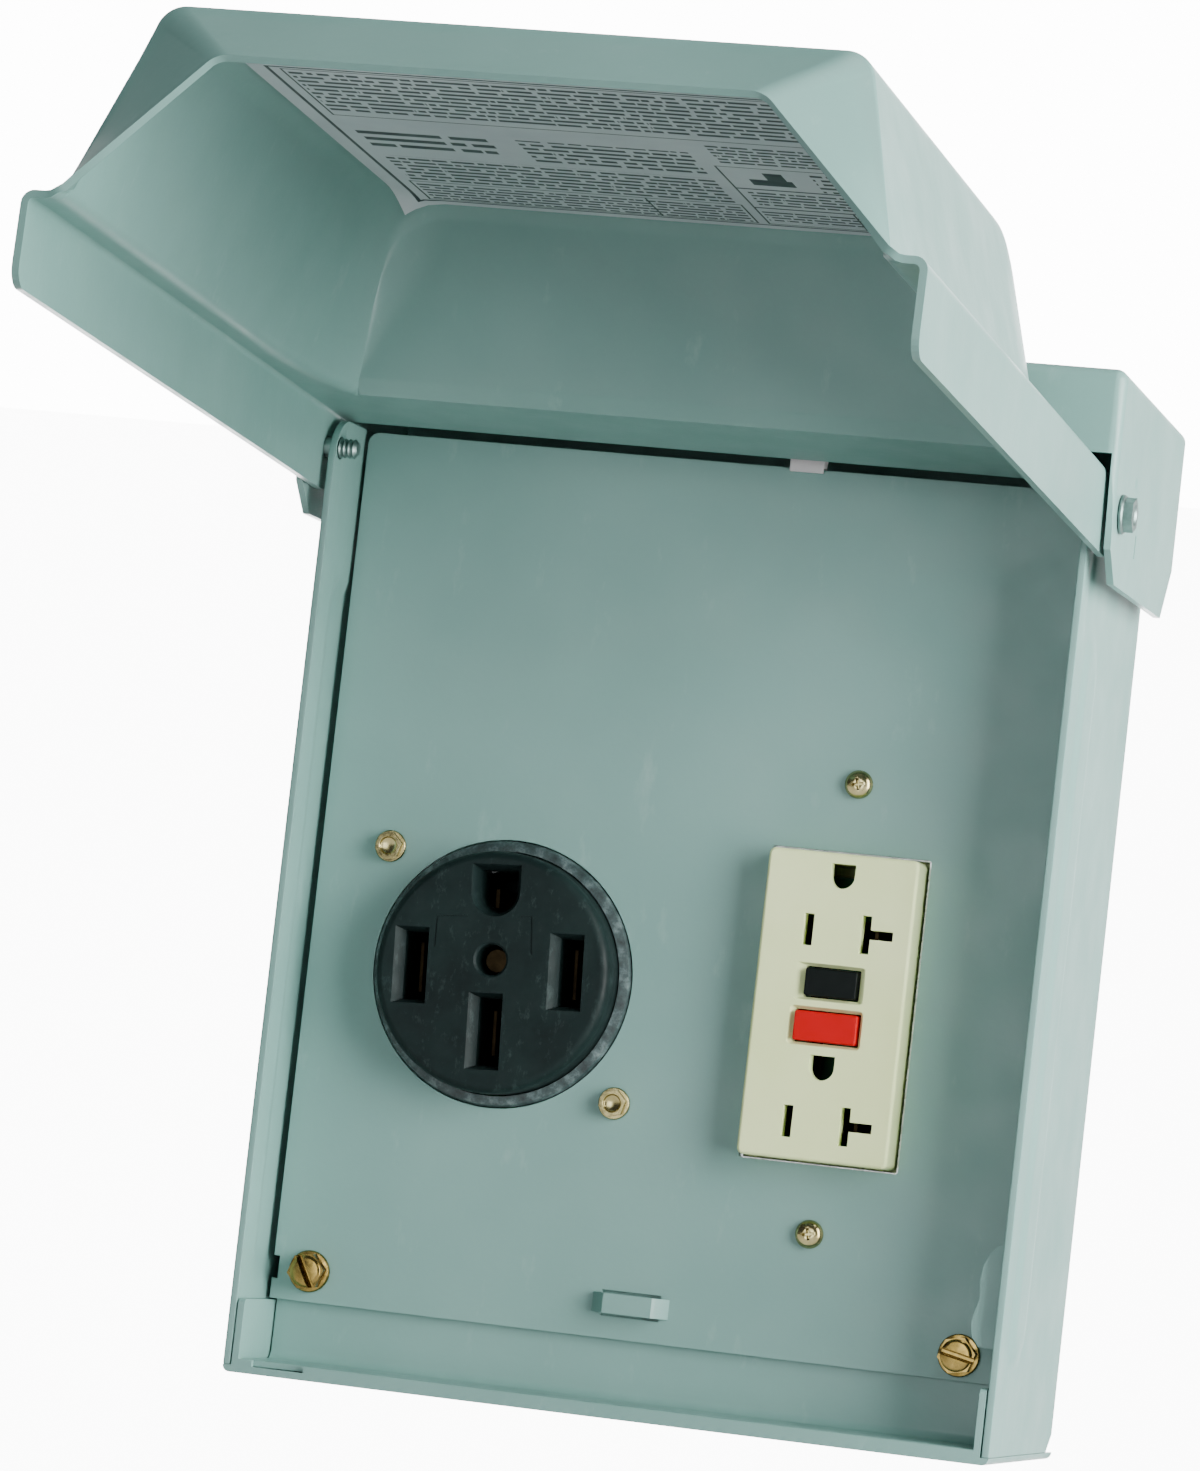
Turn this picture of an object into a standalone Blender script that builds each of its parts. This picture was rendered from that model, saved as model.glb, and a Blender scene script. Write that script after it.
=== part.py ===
"""Surface-mounted temporary-power outlet box with a lifting weather cover.

Frame: metres, +Z up, the front faces -Y.  The origin is on the back mounting face,
in the middle of the four mounting holes.  The cover is drawn open.  All sizes below are
in millimetres, and heights are measured from the box's lowest edge, which is ORIGIN_UP
below the origin.
"""
from math import cos, hypot, pi, radians, sin, sqrt, tan

import bmesh
import bpy
from mathutils import Matrix, Vector

MM = 0.001
GAP = 0.3                       # clearance between pieces that touch

ORIGIN_UP = 111.0               # the frame's origin above the box's lowest edge

# ---- enclosure -------------------------------------------------------------------
SHEET = 1.6                     # box sheet steel
HALF_WIDTH = 84.3               # box, to the outside of a side wall
WALL_IN = HALF_WIDTH - SHEET    # inside face of a side wall
DEPTH = 71.8                    # back face to the side walls' front edges
WALL_TOP = 207.8
WALL_BOTTOM = SHEET + GAP
CORNER_R = 9.0                  # rounded upper front corner of a side wall
TRAY_WALL_H = 15.9              # upturned sides of the bottom tray
TRAY_LIP_H = 3.0

# ---- dead front (the panel that carries both outlets) ------------------------------
PANEL_T = 1.5
PANEL_FRONT = -52.0
PANEL_BACK = PANEL_FRONT + PANEL_T
PANEL_X = (-81.7, 80.3)
PANEL_Z = (16.2, 207.1)
PANEL_SCREWS = ((-73.2, 22.9), (71.9, 21.6))
PULL_X = -0.8                   # pressed finger pull near the lower edge
PULL_Z = 23.8

# ---- hood --------------------------------------------------------------------------
HOOD_T = 1.5
HOOD_HALF = 89.9
HOOD_FRONT = -77.5
HOOD_TOP_FRONT = 231.1
HOOD_TOP_BACK = 228.0
HOOD_APRON_LOW = 213.0
EAR_LOW = 185.6

# ---- cover, in its own frame: u from the hinge to the free end, w away from the box --
PIVOT_Y = -68.2
PIVOT_Z = 201.3
REST_TILT = radians(3.7)        # the open cover stands this far above level
COVER_T = 1.5
COVER_HALF = 87.4
PAN_W = 9.2                     # outside of the flat pan, from the pivot
FLANGE_LOW = -9.3
FLANGE_BEND_R = 2.6
COVER_REAR = -9.8
COVER_END = 201.0
DOME_START = 24.0
DOME_HALF = 80.0
DOME_HALF_REAR = 74.0
DOME_H = 40.3
DOME_DRAFT = radians(15.4)
DOME_EDGE_R = 6.0
DOME_REAR_EDGE_R = 16.0          # rounder where the sides meet the rear wall
MOUTH_HALF = 81.2               # the trimmed free end of the dome
MOUTH_H = 28.4
MOUTH_SLOPE = radians(45.0)
MOUTH_EDGE_R = 6.0
MOUTH_CREASE = 188.0
LABEL_HALF = 60.0
LABEL_U = (42.0, 154.0)

# ---- 50 A outlet ---------------------------------------------------------------------
R50_X = -37.6
R50_Z = 91.7
R50_TURN = radians(3.0)         # the outlet sits a little turned in its hole
R50_HOLE_R = 29.2
R50_RING_R = 28.9
R50_FACE_R = 26.3
R50_RING_Y = -53.2
R50_FACE_Y = -61.4
R50_FACE_BACK = PANEL_BACK
R50_SCREWS = ((-28.3, 25.2), (28.3, -25.2))
R50_SLOTS = {"left": (-17.4, 0.7), "right": (17.4, 0.7), "neutral": (0.0, -12.9)}
R50_SLOT = (5.4, 14.8)
R50_GROUND = (0.0, 17.6)
R50_GROUND_SIZE = (8.6, 9.2)
R50_CENTRE = (-0.2, 2.6)

# ---- 20 A ground-fault outlet -----------------------------------------------------------
GF_X = 36.7
GF_Z = 91.8
GF_OPENING = (35.2, 67.4)
GF_FACE = (33.0, 66.0)
GF_FACE_Y = -59.0
GF_FACE_WALL = 3.5
GF_FACE_BACK = -47.5
GF_SCREW_Z = 48.4
GF_OUTLETS = (16.2, -24.9)      # height of each pair of blade slots
GF_GROUND_UP = 11.9             # each ground hole above its blade slots
GF_TEST = (0.2, 5.15, 11.4, 6.0)
GF_RESET = (0.0, -4.35, 13.8, 6.4)
BUTTON_PROUD = 0.7
BUTTON_DEPTH = 5.2
BUTTON_GAP = 0.35

INSIDE_BACK = -SHEET            # inside face of the back plate


# ---- scene and materials -------------------------------------------------------------------
for old in list(bpy.data.objects):
    bpy.data.objects.remove(old, do_unlink=True)


def new_collection(name):
    """A fresh collection linked to the scene."""
    collection = bpy.data.collections.new(name)
    bpy.context.scene.collection.children.link(collection)
    return collection


PARTS = new_collection("power_outlet_box")
CUTTERS = new_collection("cutters")


def linear(value):
    """One sRGB channel, 0 to 255, as scene-linear light."""
    v = value / 255.0
    return v / 12.92 if v <= 0.04045 else ((v + 0.055) / 1.055) ** 2.4


def principled(name, rgb, roughness, metallic=0.0):
    """A plain Principled material."""
    material = bpy.data.materials.new(name)
    material.use_nodes = True
    shader = material.node_tree.nodes["Principled BSDF"]
    shader.inputs["Base Color"].default_value = (*[linear(c) for c in rgb], 1.0)
    shader.inputs["Roughness"].default_value = roughness
    shader.inputs["Metallic"].default_value = metallic
    return material


FINISHES = {
    "paint": ((140, 163, 158), 0.38, 0.0),
    "black": ((34, 42, 42), 0.45, 0.0),
    "ivory": ((228, 230, 212), 0.32, 0.0),
    "red": ((214, 34, 26), 0.35, 0.0),
    "button_black": ((26, 34, 38), 0.35, 0.0),
    "yellow_zinc": ((186, 156, 96), 0.28, 1.0),
    "steel": ((176, 178, 178), 0.35, 1.0),
    "brass": ((196, 158, 86), 0.3, 1.0),
    "aluminium": ((190, 192, 194), 0.35, 1.0),
    "nylon": ((226, 222, 220), 0.5, 0.0),
    "label": ((178, 186, 188), 0.4, 0.0),
    "insulator": ((150, 44, 34), 0.55, 0.0),
    "board": ((30, 96, 60), 0.5, 0.0),
    "copper": ((186, 112, 74), 0.35, 1.0),
    "wire_black": ((28, 28, 30), 0.45, 0.0),
    "wire_red": ((176, 30, 28), 0.45, 0.0),
    "wire_white": ((222, 222, 218), 0.45, 0.0),
    "wire_green": ((34, 120, 62), 0.45, 0.0),
}


# ---- building blocks -------------------------------------------------------------------------
def add_box(bm, x, y, z):
    """A box between two values on each axis."""
    centre = Vector((sum(x) / 2, sum(y) / 2, sum(z) / 2))
    size = Vector((x[1] - x[0], y[1] - y[0], z[1] - z[0], 1.0))
    bmesh.ops.create_cube(bm, size=1.0, matrix=Matrix.Translation(centre) @ Matrix.Diagonal(size))


AXIS_TURN = {
    "X": Matrix.Rotation(pi / 2, 4, "Y"),
    "Y": Matrix.Rotation(-pi / 2, 4, "X"),
    "Z": Matrix.Identity(4),
}


def lift(axis, point, along):
    """A point of a flat outline, placed in space: the outline lies across the axis."""
    a, b = point
    return {"X": (along, a, b), "Y": (a, along, b), "Z": (a, b, along)}[axis]


def add_cylinder(bm, axis, centre, radius, low, high, segments=24, radius_high=None):
    """A cylinder or cone frustum along an axis, between two places on it."""
    radius_high = radius if radius_high is None else radius_high
    place = Matrix.Translation(lift(axis, centre, (low + high) / 2)) @ AXIS_TURN[axis]
    bmesh.ops.create_cone(bm, cap_ends=True, segments=segments, radius1=radius,
                          radius2=radius_high, depth=high - low, matrix=place)


def add_prism(bm, outline, axis, low, high):
    """A flat outline extruded along an axis."""
    face = bm.faces.new([bm.verts.new(lift(axis, p, low)) for p in outline])
    top = bmesh.ops.extrude_face_region(bm, geom=[face])["geom"]
    moved = [g for g in top if isinstance(g, bmesh.types.BMVert)]
    bmesh.ops.translate(bm, verts=moved, vec=lift(axis, (0, 0), high - low))
    bmesh.ops.recalc_face_normals(bm, faces=bm.faces)


def arc(centre, radius, start, end, steps=4):
    """Points on an arc, angles in degrees."""
    angles = [radians(start + (end - start) * i / steps) for i in range(steps + 1)]
    return [(centre[0] + radius * cos(a), centre[1] + radius * sin(a)) for a in angles]


def rounded_rect(centre, size, radius, steps=3):
    """Outline of a rectangle with round corners."""
    hx = size[0] / 2 - radius
    hz = size[1] / 2 - radius
    corners = ((hx, hz, 0), (-hx, hz, 90), (-hx, -hz, 180), (hx, -hz, 270))
    points = []
    for dx, dz, start in corners:
        points += arc((centre[0] + dx, centre[1] + dz), radius, start, start + 90, steps)
    return points


def turned(point, centre, angle):
    """A point given from a centre, turned about it."""
    x, z = point
    return (centre[0] + x * cos(angle) - z * sin(angle),
            centre[1] + x * sin(angle) + z * cos(angle))


def place_mesh(bm, name, collection):
    """Turn a millimetre bmesh into an object in metres."""
    bmesh.ops.scale(bm, vec=(MM, MM, MM), verts=bm.verts)
    mesh = bpy.data.meshes.new(name)
    bm.to_mesh(mesh)
    bm.free()
    obj = bpy.data.objects.new(name, mesh)
    obj.location.z = -ORIGIN_UP * MM
    collection.objects.link(obj)
    return obj


def finish_part(obj, finish):
    """Give a part its own material and shade its round faces smooth."""
    obj.data.materials.clear()
    obj.data.materials.append(principled(obj.name + "_" + finish, *FINISHES[finish]))
    obj.data.shade_smooth()
    obj.data.set_sharp_from_angle(angle=radians(35))
    return obj


def part(name, finish, build):
    """A part from a function that fills a bmesh."""
    bm = bmesh.new()
    build(bm)
    return finish_part(place_mesh(bm, name, PARTS), finish)


def cut(obj, name, build):
    """Cut a part with the solids that a function builds."""
    bm = bmesh.new()
    build(bm)
    cutter = place_mesh(bm, "cut_" + name, CUTTERS)
    cutter.hide_render = True
    cutter.display_type = "WIRE"
    boolean = obj.modifiers.new(name, "BOOLEAN")
    boolean.operation = "DIFFERENCE"
    boolean.solver = "EXACT"
    boolean.object = cutter
    return cutter


def join(obj, name, build):
    """Add the solids that a function builds to a part."""
    boolean = obj.modifiers.new(name, "BOOLEAN")
    boolean.operation = "UNION"
    boolean.solver = "EXACT"
    bm = bmesh.new()
    build(bm)
    added = place_mesh(bm, "add_" + name, CUTTERS)
    added.hide_render = True
    added.display_type = "WIRE"
    boolean.object = added


def merge(obj):
    """Make one body of a part's overlapping solids: each after the first is added to it."""
    bm = bmesh.new()
    bm.from_mesh(obj.data)
    bm.verts.ensure_lookup_table()
    islands = []
    left = set(bm.verts)
    while left:
        found = {left.pop()}
        front = list(found)
        while front:
            vert = front.pop()
            ends = [edge.other_vert(vert) for edge in vert.link_edges]
            fresh = [v for v in ends if v not in found]
            found.update(fresh)
            front += fresh
        left -= found
        islands.append(found)
    islands.sort(key=lambda found: min(v.index for v in found))
    for number, island in enumerate(islands[1:]):
        single = bm.copy()
        single.verts.ensure_lookup_table()
        keep = {v.index for v in island}
        gone = [v for v in single.verts if v.index not in keep]
        bmesh.ops.delete(single, geom=gone, context="VERTS")
        mesh = bpy.data.meshes.new(f"add_{obj.name}_{number}")
        single.to_mesh(mesh)
        single.free()
        added = bpy.data.objects.new(mesh.name, mesh)
        added.location = obj.location
        CUTTERS.objects.link(added)
        added.hide_render = True
        added.display_type = "WIRE"
        boolean = obj.modifiers.new(f"union_{number}", "BOOLEAN")
        boolean.operation = "UNION"
        boolean.solver = "EXACT"
        boolean.object = added
    extra = [v for island in islands[1:] for v in island]
    bmesh.ops.delete(bm, geom=extra, context="VERTS")
    bm.to_mesh(obj.data)
    bm.free()
    return obj


def add_hex(bm, axis, centre, across_flats, low, high, turn=0.0):
    """A hexagonal prism, for screw heads."""
    radius = across_flats / sqrt(3)
    outline = [(centre[0] + radius * cos(turn + k * pi / 3),
                centre[1] + radius * sin(turn + k * pi / 3)) for k in range(6)]
    add_prism(bm, outline, axis, low, high)


# ---- enclosure ----------------------------------------------------------------------------------
MOUNT_HOLES = [(x, z) for x in (-58.0, 58.0) for z in (36.0, 186.0)]
HOOD_FLANGE_X = 76.0
HOOD_FLANGE_LOW = 189.0
RIVETS = {"left": (-60.0, 198.0), "right": (60.0, 198.0)}
RIVET_R = 2.4


def build_back_box():
    """Back plate and both side walls, bent from one sheet."""
    def body(bm):
        w, t = HALF_WIDTH, SHEET
        outline = [(-w, 0), (w, 0), (w, -DEPTH), (w - t, -DEPTH), (w - t, -t),
                   (-w + t, -t), (-w + t, -DEPTH), (-w, -DEPTH)]
        add_prism(bm, outline, "Z", WALL_BOTTOM, WALL_TOP)

    def front_corners(bm):
        centre = (-DEPTH + CORNER_R, WALL_TOP - CORNER_R)
        rounding = arc(centre, CORNER_R, 90, 180, 5)
        out = 6.0
        outline = rounding + [(-DEPTH - out, centre[1]), (-DEPTH - out, WALL_TOP + out),
                              (centre[0], WALL_TOP + out)]
        add_prism(bm, outline, "X", -HALF_WIDTH - out, HALF_WIDTH + out)

    def rear_chamfer(bm):
        outline = [(-9.0, 0.0), (2.0, 0.0), (2.0, 8.4)]
        for side in (-1, 1):
            low, high = sorted((side * (WALL_IN - 2.5), side * (HALF_WIDTH + 3)))
            add_prism(bm, outline, "X", low, high)

    def pivots(bm):
        add_cylinder(bm, "X", (PIVOT_Y, PIVOT_Z), 2.45, -100, 100, 20)

    def back_holes(bm):
        for spot in MOUNT_HOLES:
            add_cylinder(bm, "Y", spot, 3.3, -10, 10, 20)
        for spot in RIVETS.values():
            add_cylinder(bm, "Y", spot, RIVET_R + GAP, -10, 10, 12)

    box = part("back_box", "paint", body)
    cut(box, "wall_corners", front_corners)
    cut(box, "rear_chamfers", rear_chamfer)
    cut(box, "wall_pivot_holes", pivots)
    cut(box, "back_holes", back_holes)


KNOCKOUT = (0.0, -36.0)
KNOCKOUT_R = 17.5


def build_bottom():
    """Bottom tray with upturned sides, its knockout disc, and the lower apron."""
    flange_out = WALL_IN - GAP
    flange_in = flange_out - HOOD_T
    lip_back = -DEPTH + HOOD_T
    rear = INSIDE_BACK - GAP

    def block(bm):
        add_box(bm, (-HALF_WIDTH, HALF_WIDTH), (-DEPTH, 0), (0, TRAY_WALL_H))

    def hollow(bm):
        add_box(bm, (-flange_in, flange_in), (lip_back, rear - HOOD_T), (SHEET, 30))

    def outside(bm):
        for side in (-1, 1):
            low, high = sorted((side * flange_out, side * (HALF_WIDTH + 5)))
            add_box(bm, (low, high), (-DEPTH - 5, 5), (SHEET, 30))

    def behind(bm):
        add_box(bm, (-HALF_WIDTH - 5, HALF_WIDTH + 5), (rear, 5), (SHEET, 30))

    def mouth(bm):
        add_box(bm, (-flange_in, flange_in), (-DEPTH - 5, lip_back + 0.5), (TRAY_LIP_H, 30))

    def lip_notch(bm):
        add_box(bm, (-77.8, -66.2), (-DEPTH - 5, lip_back + 0.5), (SHEET, 30))

    def knockout_hole(bm):
        add_cylinder(bm, "Z", KNOCKOUT, KNOCKOUT_R, -5, 5, 32)

    tray = part("bottom_tray", "paint", block)
    cut(tray, "tray_hollow", hollow)
    cut(tray, "tray_outside", outside)
    cut(tray, "tray_behind", behind)
    cut(tray, "tray_mouth", mouth)
    cut(tray, "tray_lip_notch", lip_notch)
    cut(tray, "tray_knockout_hole", knockout_hole)

    def disc(bm):
        add_cylinder(bm, "Z", KNOCKOUT, KNOCKOUT_R - GAP, 0, SHEET, 32)

    part("bottom_knockout", "paint", disc)

    def apron(bm):
        back = PANEL_BACK + GAP
        t = HOOD_T
        low = WALL_BOTTOM
        bend = 2.2
        front = lip_back + GAP
        outer = arc((back + t - bend - t, low + bend + t), bend + t, 270, 360, 4)
        inner = arc((back - bend, low + t + bend), bend, 360, 270, 4)
        outline = [(front, low)] + outer + [(back + t, 30.0), (back, 30.0)] + inner
        outline.append((front, low + t))
        add_prism(bm, outline, "X", -flange_in + GAP, flange_in - GAP)

    def screw_holes(bm):
        for spot in PANEL_SCREWS:
            add_cylinder(bm, "Y", spot, 2.5, -60, -40, 16)

    lower = part("lower_apron", "paint", apron)
    cut(lower, "apron_screw_holes", screw_holes)


def build_hood():
    """Hood over the hinge: front apron, roof, ears and back, and the rivets that hold it."""
    t = HOOD_T

    def roof_z(y, under=0.0):
        slope = (HOOD_TOP_BACK - HOOD_TOP_FRONT) / -HOOD_FRONT
        return HOOD_TOP_FRONT + slope * (y - HOOD_FRONT) - under

    def shell(bm):
        edge = 2.2
        nose = arc((HOOD_FRONT + edge, roof_z(HOOD_FRONT) - edge), edge, 90, 180, 3)
        outline = nose + [(HOOD_FRONT, HOOD_APRON_LOW), (-75.2, 193.0), (-67.4, 186.4),
                          (-8.6, EAR_LOW), (0.0, 197.0), (0.0, HOOD_TOP_BACK)]
        add_prism(bm, outline, "X", -HOOD_HALF, HOOD_HALF)

    def inside(bm):
        inner = HOOD_FRONT + t
        outline = [(inner, 170), (inner, roof_z(inner, t)), (-t, roof_z(-t, t)), (-t, 170)]
        add_prism(bm, outline, "X", -HOOD_HALF + t, HOOD_HALF - t)

    def below_apron(bm):
        half = HOOD_HALF - t
        add_box(bm, (-half, half), (HOOD_FRONT - 5, HOOD_FRONT + t + 0.5), (170, HOOD_APRON_LOW))

    def below_back(bm):
        half = HOOD_HALF - t
        add_box(bm, (-half, half), (-t - 0.5, 5), (170, WALL_TOP + GAP))

    def pivots(bm):
        add_cylinder(bm, "X", (PIVOT_Y, PIVOT_Z), 2.45, -100, 100, 20)

    def rivet_holes(bm):
        for spot in RIVETS.values():
            add_cylinder(bm, "Y", spot, RIVET_R + GAP, -10, 10, 12)

    flange_back = INSIDE_BACK - GAP
    flange_front = flange_back - t

    def flange(bm):
        """The back's lower edge steps in, and runs down inside the box's back plate."""
        step = WALL_TOP + GAP
        outline = [(flange_back, HOOD_FLANGE_LOW), (flange_back, step), (-0.5, step),
                   (-0.5, step + t), (flange_front, step + t), (flange_front, HOOD_FLANGE_LOW)]
        add_prism(bm, outline, "X", -HOOD_FLANGE_X, HOOD_FLANGE_X)

    hood = part("hood", "paint", shell)
    cut(hood, "hood_inside", inside)
    cut(hood, "hood_below_apron", below_apron)
    cut(hood, "hood_below_back", below_back)
    cut(hood, "hood_pivot_holes", pivots)
    join(hood, "hood_flange", flange)
    cut(hood, "hood_rivet_holes", rivet_holes)

    def rivet(spot):
        def build(bm):
            add_cylinder(bm, "Y", spot, RIVET_R, flange_front - GAP - 0.5, 0.0, 12)
            head = flange_front - GAP
            add_cylinder(bm, "Y", spot, 4.2, head - 1.4, head, 12, 4.6)
        return build

    for side, spot in RIVETS.items():
        merge(part("hood_rivet_" + side, "steel", rivet(spot)))


# ---- cover ------------------------------------------------------------------------------------------
def smooth(t):
    """Ease a value that runs from 0 to 1."""
    t = max(0.0, min(1.0, t))
    return t * t * (3 - 2 * t)


def dome_height(u):
    """Outside height of the dome above the pan, rising from the hinge end."""
    if u <= DOME_START:
        return 0.0
    rear_run, rear_height, round_run = 8.6, 36.0, 5.5
    if u <= DOME_START + rear_run:
        return rear_height * (u - DOME_START) / rear_run
    turn = min(1.0, (u - DOME_START - rear_run) / round_run)
    return rear_height + (DOME_H - rear_height) * sin(turn * pi / 2)


def dome_half(u):
    """Half width of the dome where it leaves the pan."""
    run = max(0.0, min(1.0, (u - DOME_START) / 40.0))
    return DOME_HALF - (DOME_HALF - DOME_HALF_REAR) * (1 - run) ** 2


def dome_edge(u):
    """Radius of the dome's upper side edges, growing towards the rear wall."""
    return DOME_EDGE_R + (DOME_REAR_EDGE_R - DOME_EDGE_R) * smooth((60.0 - u) / 26.0)


def section(half, height, lean, edge_r, base=1.2):
    """Half of a dome section, from its foot to the middle: across and height above the pan."""
    edge_r = min(edge_r, 0.6 * height)
    middle_z = height - edge_r
    middle_x = half - edge_r / cos(lean) - middle_z * tan(lean)
    foot = base * min(1.0, height / 6.0)
    points = [(half + foot, 0.0), (half - foot * tan(lean), foot)]
    corner = [(middle_x + edge_r * cos(a), middle_z + edge_r * sin(a))
              for a in (lean + (pi / 2 - lean) * k / 4 for k in range(5))]
    start = points[-1]
    points.append(((start[0] + corner[0][0]) / 2, (start[1] + corner[0][1]) / 2))
    return points + corner + [(middle_x * 0.5, height), (0.0, height)]


def cover_rows():
    """The cover's outer surface as rows of points (across, u, w) from one flange to the other."""
    bend = FLANGE_BEND_R
    flange = [(COVER_HALF, FLANGE_LOW), (COVER_HALF, PAN_W - bend)]
    flange += [(COVER_HALF - bend + bend * cos(a), PAN_W - bend + bend * sin(a))
               for a in (pi / 6, pi / 3)]
    flange.append((COVER_HALF - bend, PAN_W))
    flat = section(DOME_HALF_REAR, 6.0, DOME_DRAFT, DOME_EDGE_R)
    mouth = section(MOUTH_HALF, MOUTH_H, MOUTH_SLOPE, MOUTH_EDGE_R)
    full = section(DOME_HALF, DOME_H, DOME_DRAFT, DOME_EDGE_R)

    def crease_u(k):
        """Where the dome starts to close in towards its mouth: later near the pan."""
        drop = max(0.0, 1 - full[k][1] / (DOME_H - DOME_EDGE_R))
        return MOUTH_CREASE + (COVER_END - 1.5 - MOUTH_CREASE) * drop

    rows = []
    for u in (COVER_REAR, 4.0, 15.0, DOME_START - 1.2):
        rows.append([(x, u, w) for x, w in flange] + [(x, u, PAN_W) for x, _ in flat])
    for u in (24.8, 27.0, 30.0, 32.6, 34.4, 36.2, 38.1, 42.0, 47.0, 53.0, 60.0, 90.0, 130.0,
              165.0):
        shape = section(dome_half(u), dome_height(u), DOME_DRAFT, dome_edge(u))
        rows.append([(x, u, w) for x, w in flange] + [(x, u, PAN_W + z) for x, z in shape])
    for blend in (0.0, 0.45, 1.0):
        row = [(x, COVER_END - 1.5 * (1 - blend), w) for x, w in flange]
        for k, (a, b) in enumerate(zip(full, mouth)):
            u = crease_u(k) + (COVER_END - crease_u(k)) * blend
            row.append((a[0] + (b[0] - a[0]) * blend, u, PAN_W + a[1] + (b[1] - a[1]) * blend))
        rows.append(row)
    return rows


def build_cover():
    """Drawn weather cover: flanged pan with a dome that is open at the free end."""
    bm = bmesh.new()
    grid = []
    for row in cover_rows():
        across = row + [(-x, u, w) for x, u, w in reversed(row[:-1])]
        grid.append([bm.verts.new((x, -u, w)) for x, u, w in across])
    for low, high in zip(grid, grid[1:]):
        for k in range(len(low) - 1):
            bm.faces.new((low[k], low[k + 1], high[k + 1], high[k]))
    bmesh.ops.recalc_face_normals(bm, faces=bm.faces)
    top = max(bm.faces, key=lambda f: f.calc_center_median().z)
    if top.normal.z < 0:
        bmesh.ops.reverse_faces(bm, faces=bm.faces)
    cover = finish_part(place_mesh(bm, "cover", PARTS), "paint")
    cover.location = (0, PIVOT_Y * MM, (PIVOT_Z - ORIGIN_UP) * MM)
    cover.rotation_euler = (-REST_TILT, 0, 0)
    shell = cover.modifiers.new("sheet", "SOLIDIFY")
    shell.thickness = COVER_T * MM
    shell.offset = -1
    shell.use_even_offset = True

    def corners(bm):
        """Round the flanges' hinge ends and take their lower free corners off."""
        ring = arc((0, 0), -FLANGE_LOW, 0, -90, 5)
        hinge_end = [(0.0, FLANGE_LOW - 3)] + [(y, z) for y, z in arc((0, 0), 9.3, -90, 90, 10)]
        hinge_end += [(0.0, 14.0), (20.0, 14.0), (20.0, FLANGE_LOW - 3)]
        inner = COVER_HALF - COVER_T - 0.6
        end = -COVER_END
        free = [(end - 2, FLANGE_LOW + 4.5), (end, FLANGE_LOW + 4.5), (end + 2.2, FLANGE_LOW),
                (end + 2.2, FLANGE_LOW - 3), (end - 2, FLANGE_LOW - 3)]
        for side in (-1, 1):
            low, high = sorted((side * inner, side * (COVER_HALF + 3)))
            add_prism(bm, hinge_end, "X", low, high)
            add_prism(bm, free, "X", low, high)
        return ring

    def pivots(bm):
        add_cylinder(bm, "X", (0, 0), 2.5, -100, 100, 20)

    for name, build in (("cover_corners", corners), ("cover_pivot_holes", pivots)):
        cutter = cut(cover, name, build)
        cutter.location = cover.location
        cutter.rotation_euler = cover.rotation_euler

    def label(bm):
        top = PAN_W + DOME_H - COVER_T - GAP
        add_box(bm, (-LABEL_HALF, LABEL_HALF), (-LABEL_U[1], -LABEL_U[0]), (top - 2.6, top - 2.2))

    sheet = part("cover_label", "label", label)
    sheet.location = cover.location
    sheet.rotation_euler = cover.rotation_euler


def build_pivot_screws():
    """Hex washer-head hinge screws: through the ear and flange, into the side wall."""
    head = HOOD_HALF + GAP

    def screw(side):
        def build(bm):
            spot = (PIVOT_Y, PIVOT_Z)
            for radius, near, far in ((2.15, WALL_IN - 4.0, head + 0.5), (4.2, head, head + 0.8)):
                add_cylinder(bm, "X", spot, radius, *sorted((side * near, side * far)), 16)
            add_hex(bm, "X", spot, 6.6, *sorted((side * (head + 0.5), side * (head + 2.9))))
        return build

    for name, side in (("left", -1), ("right", 1)):
        merge(part("pivot_screw_" + name, "steel", screw(side)))


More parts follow.
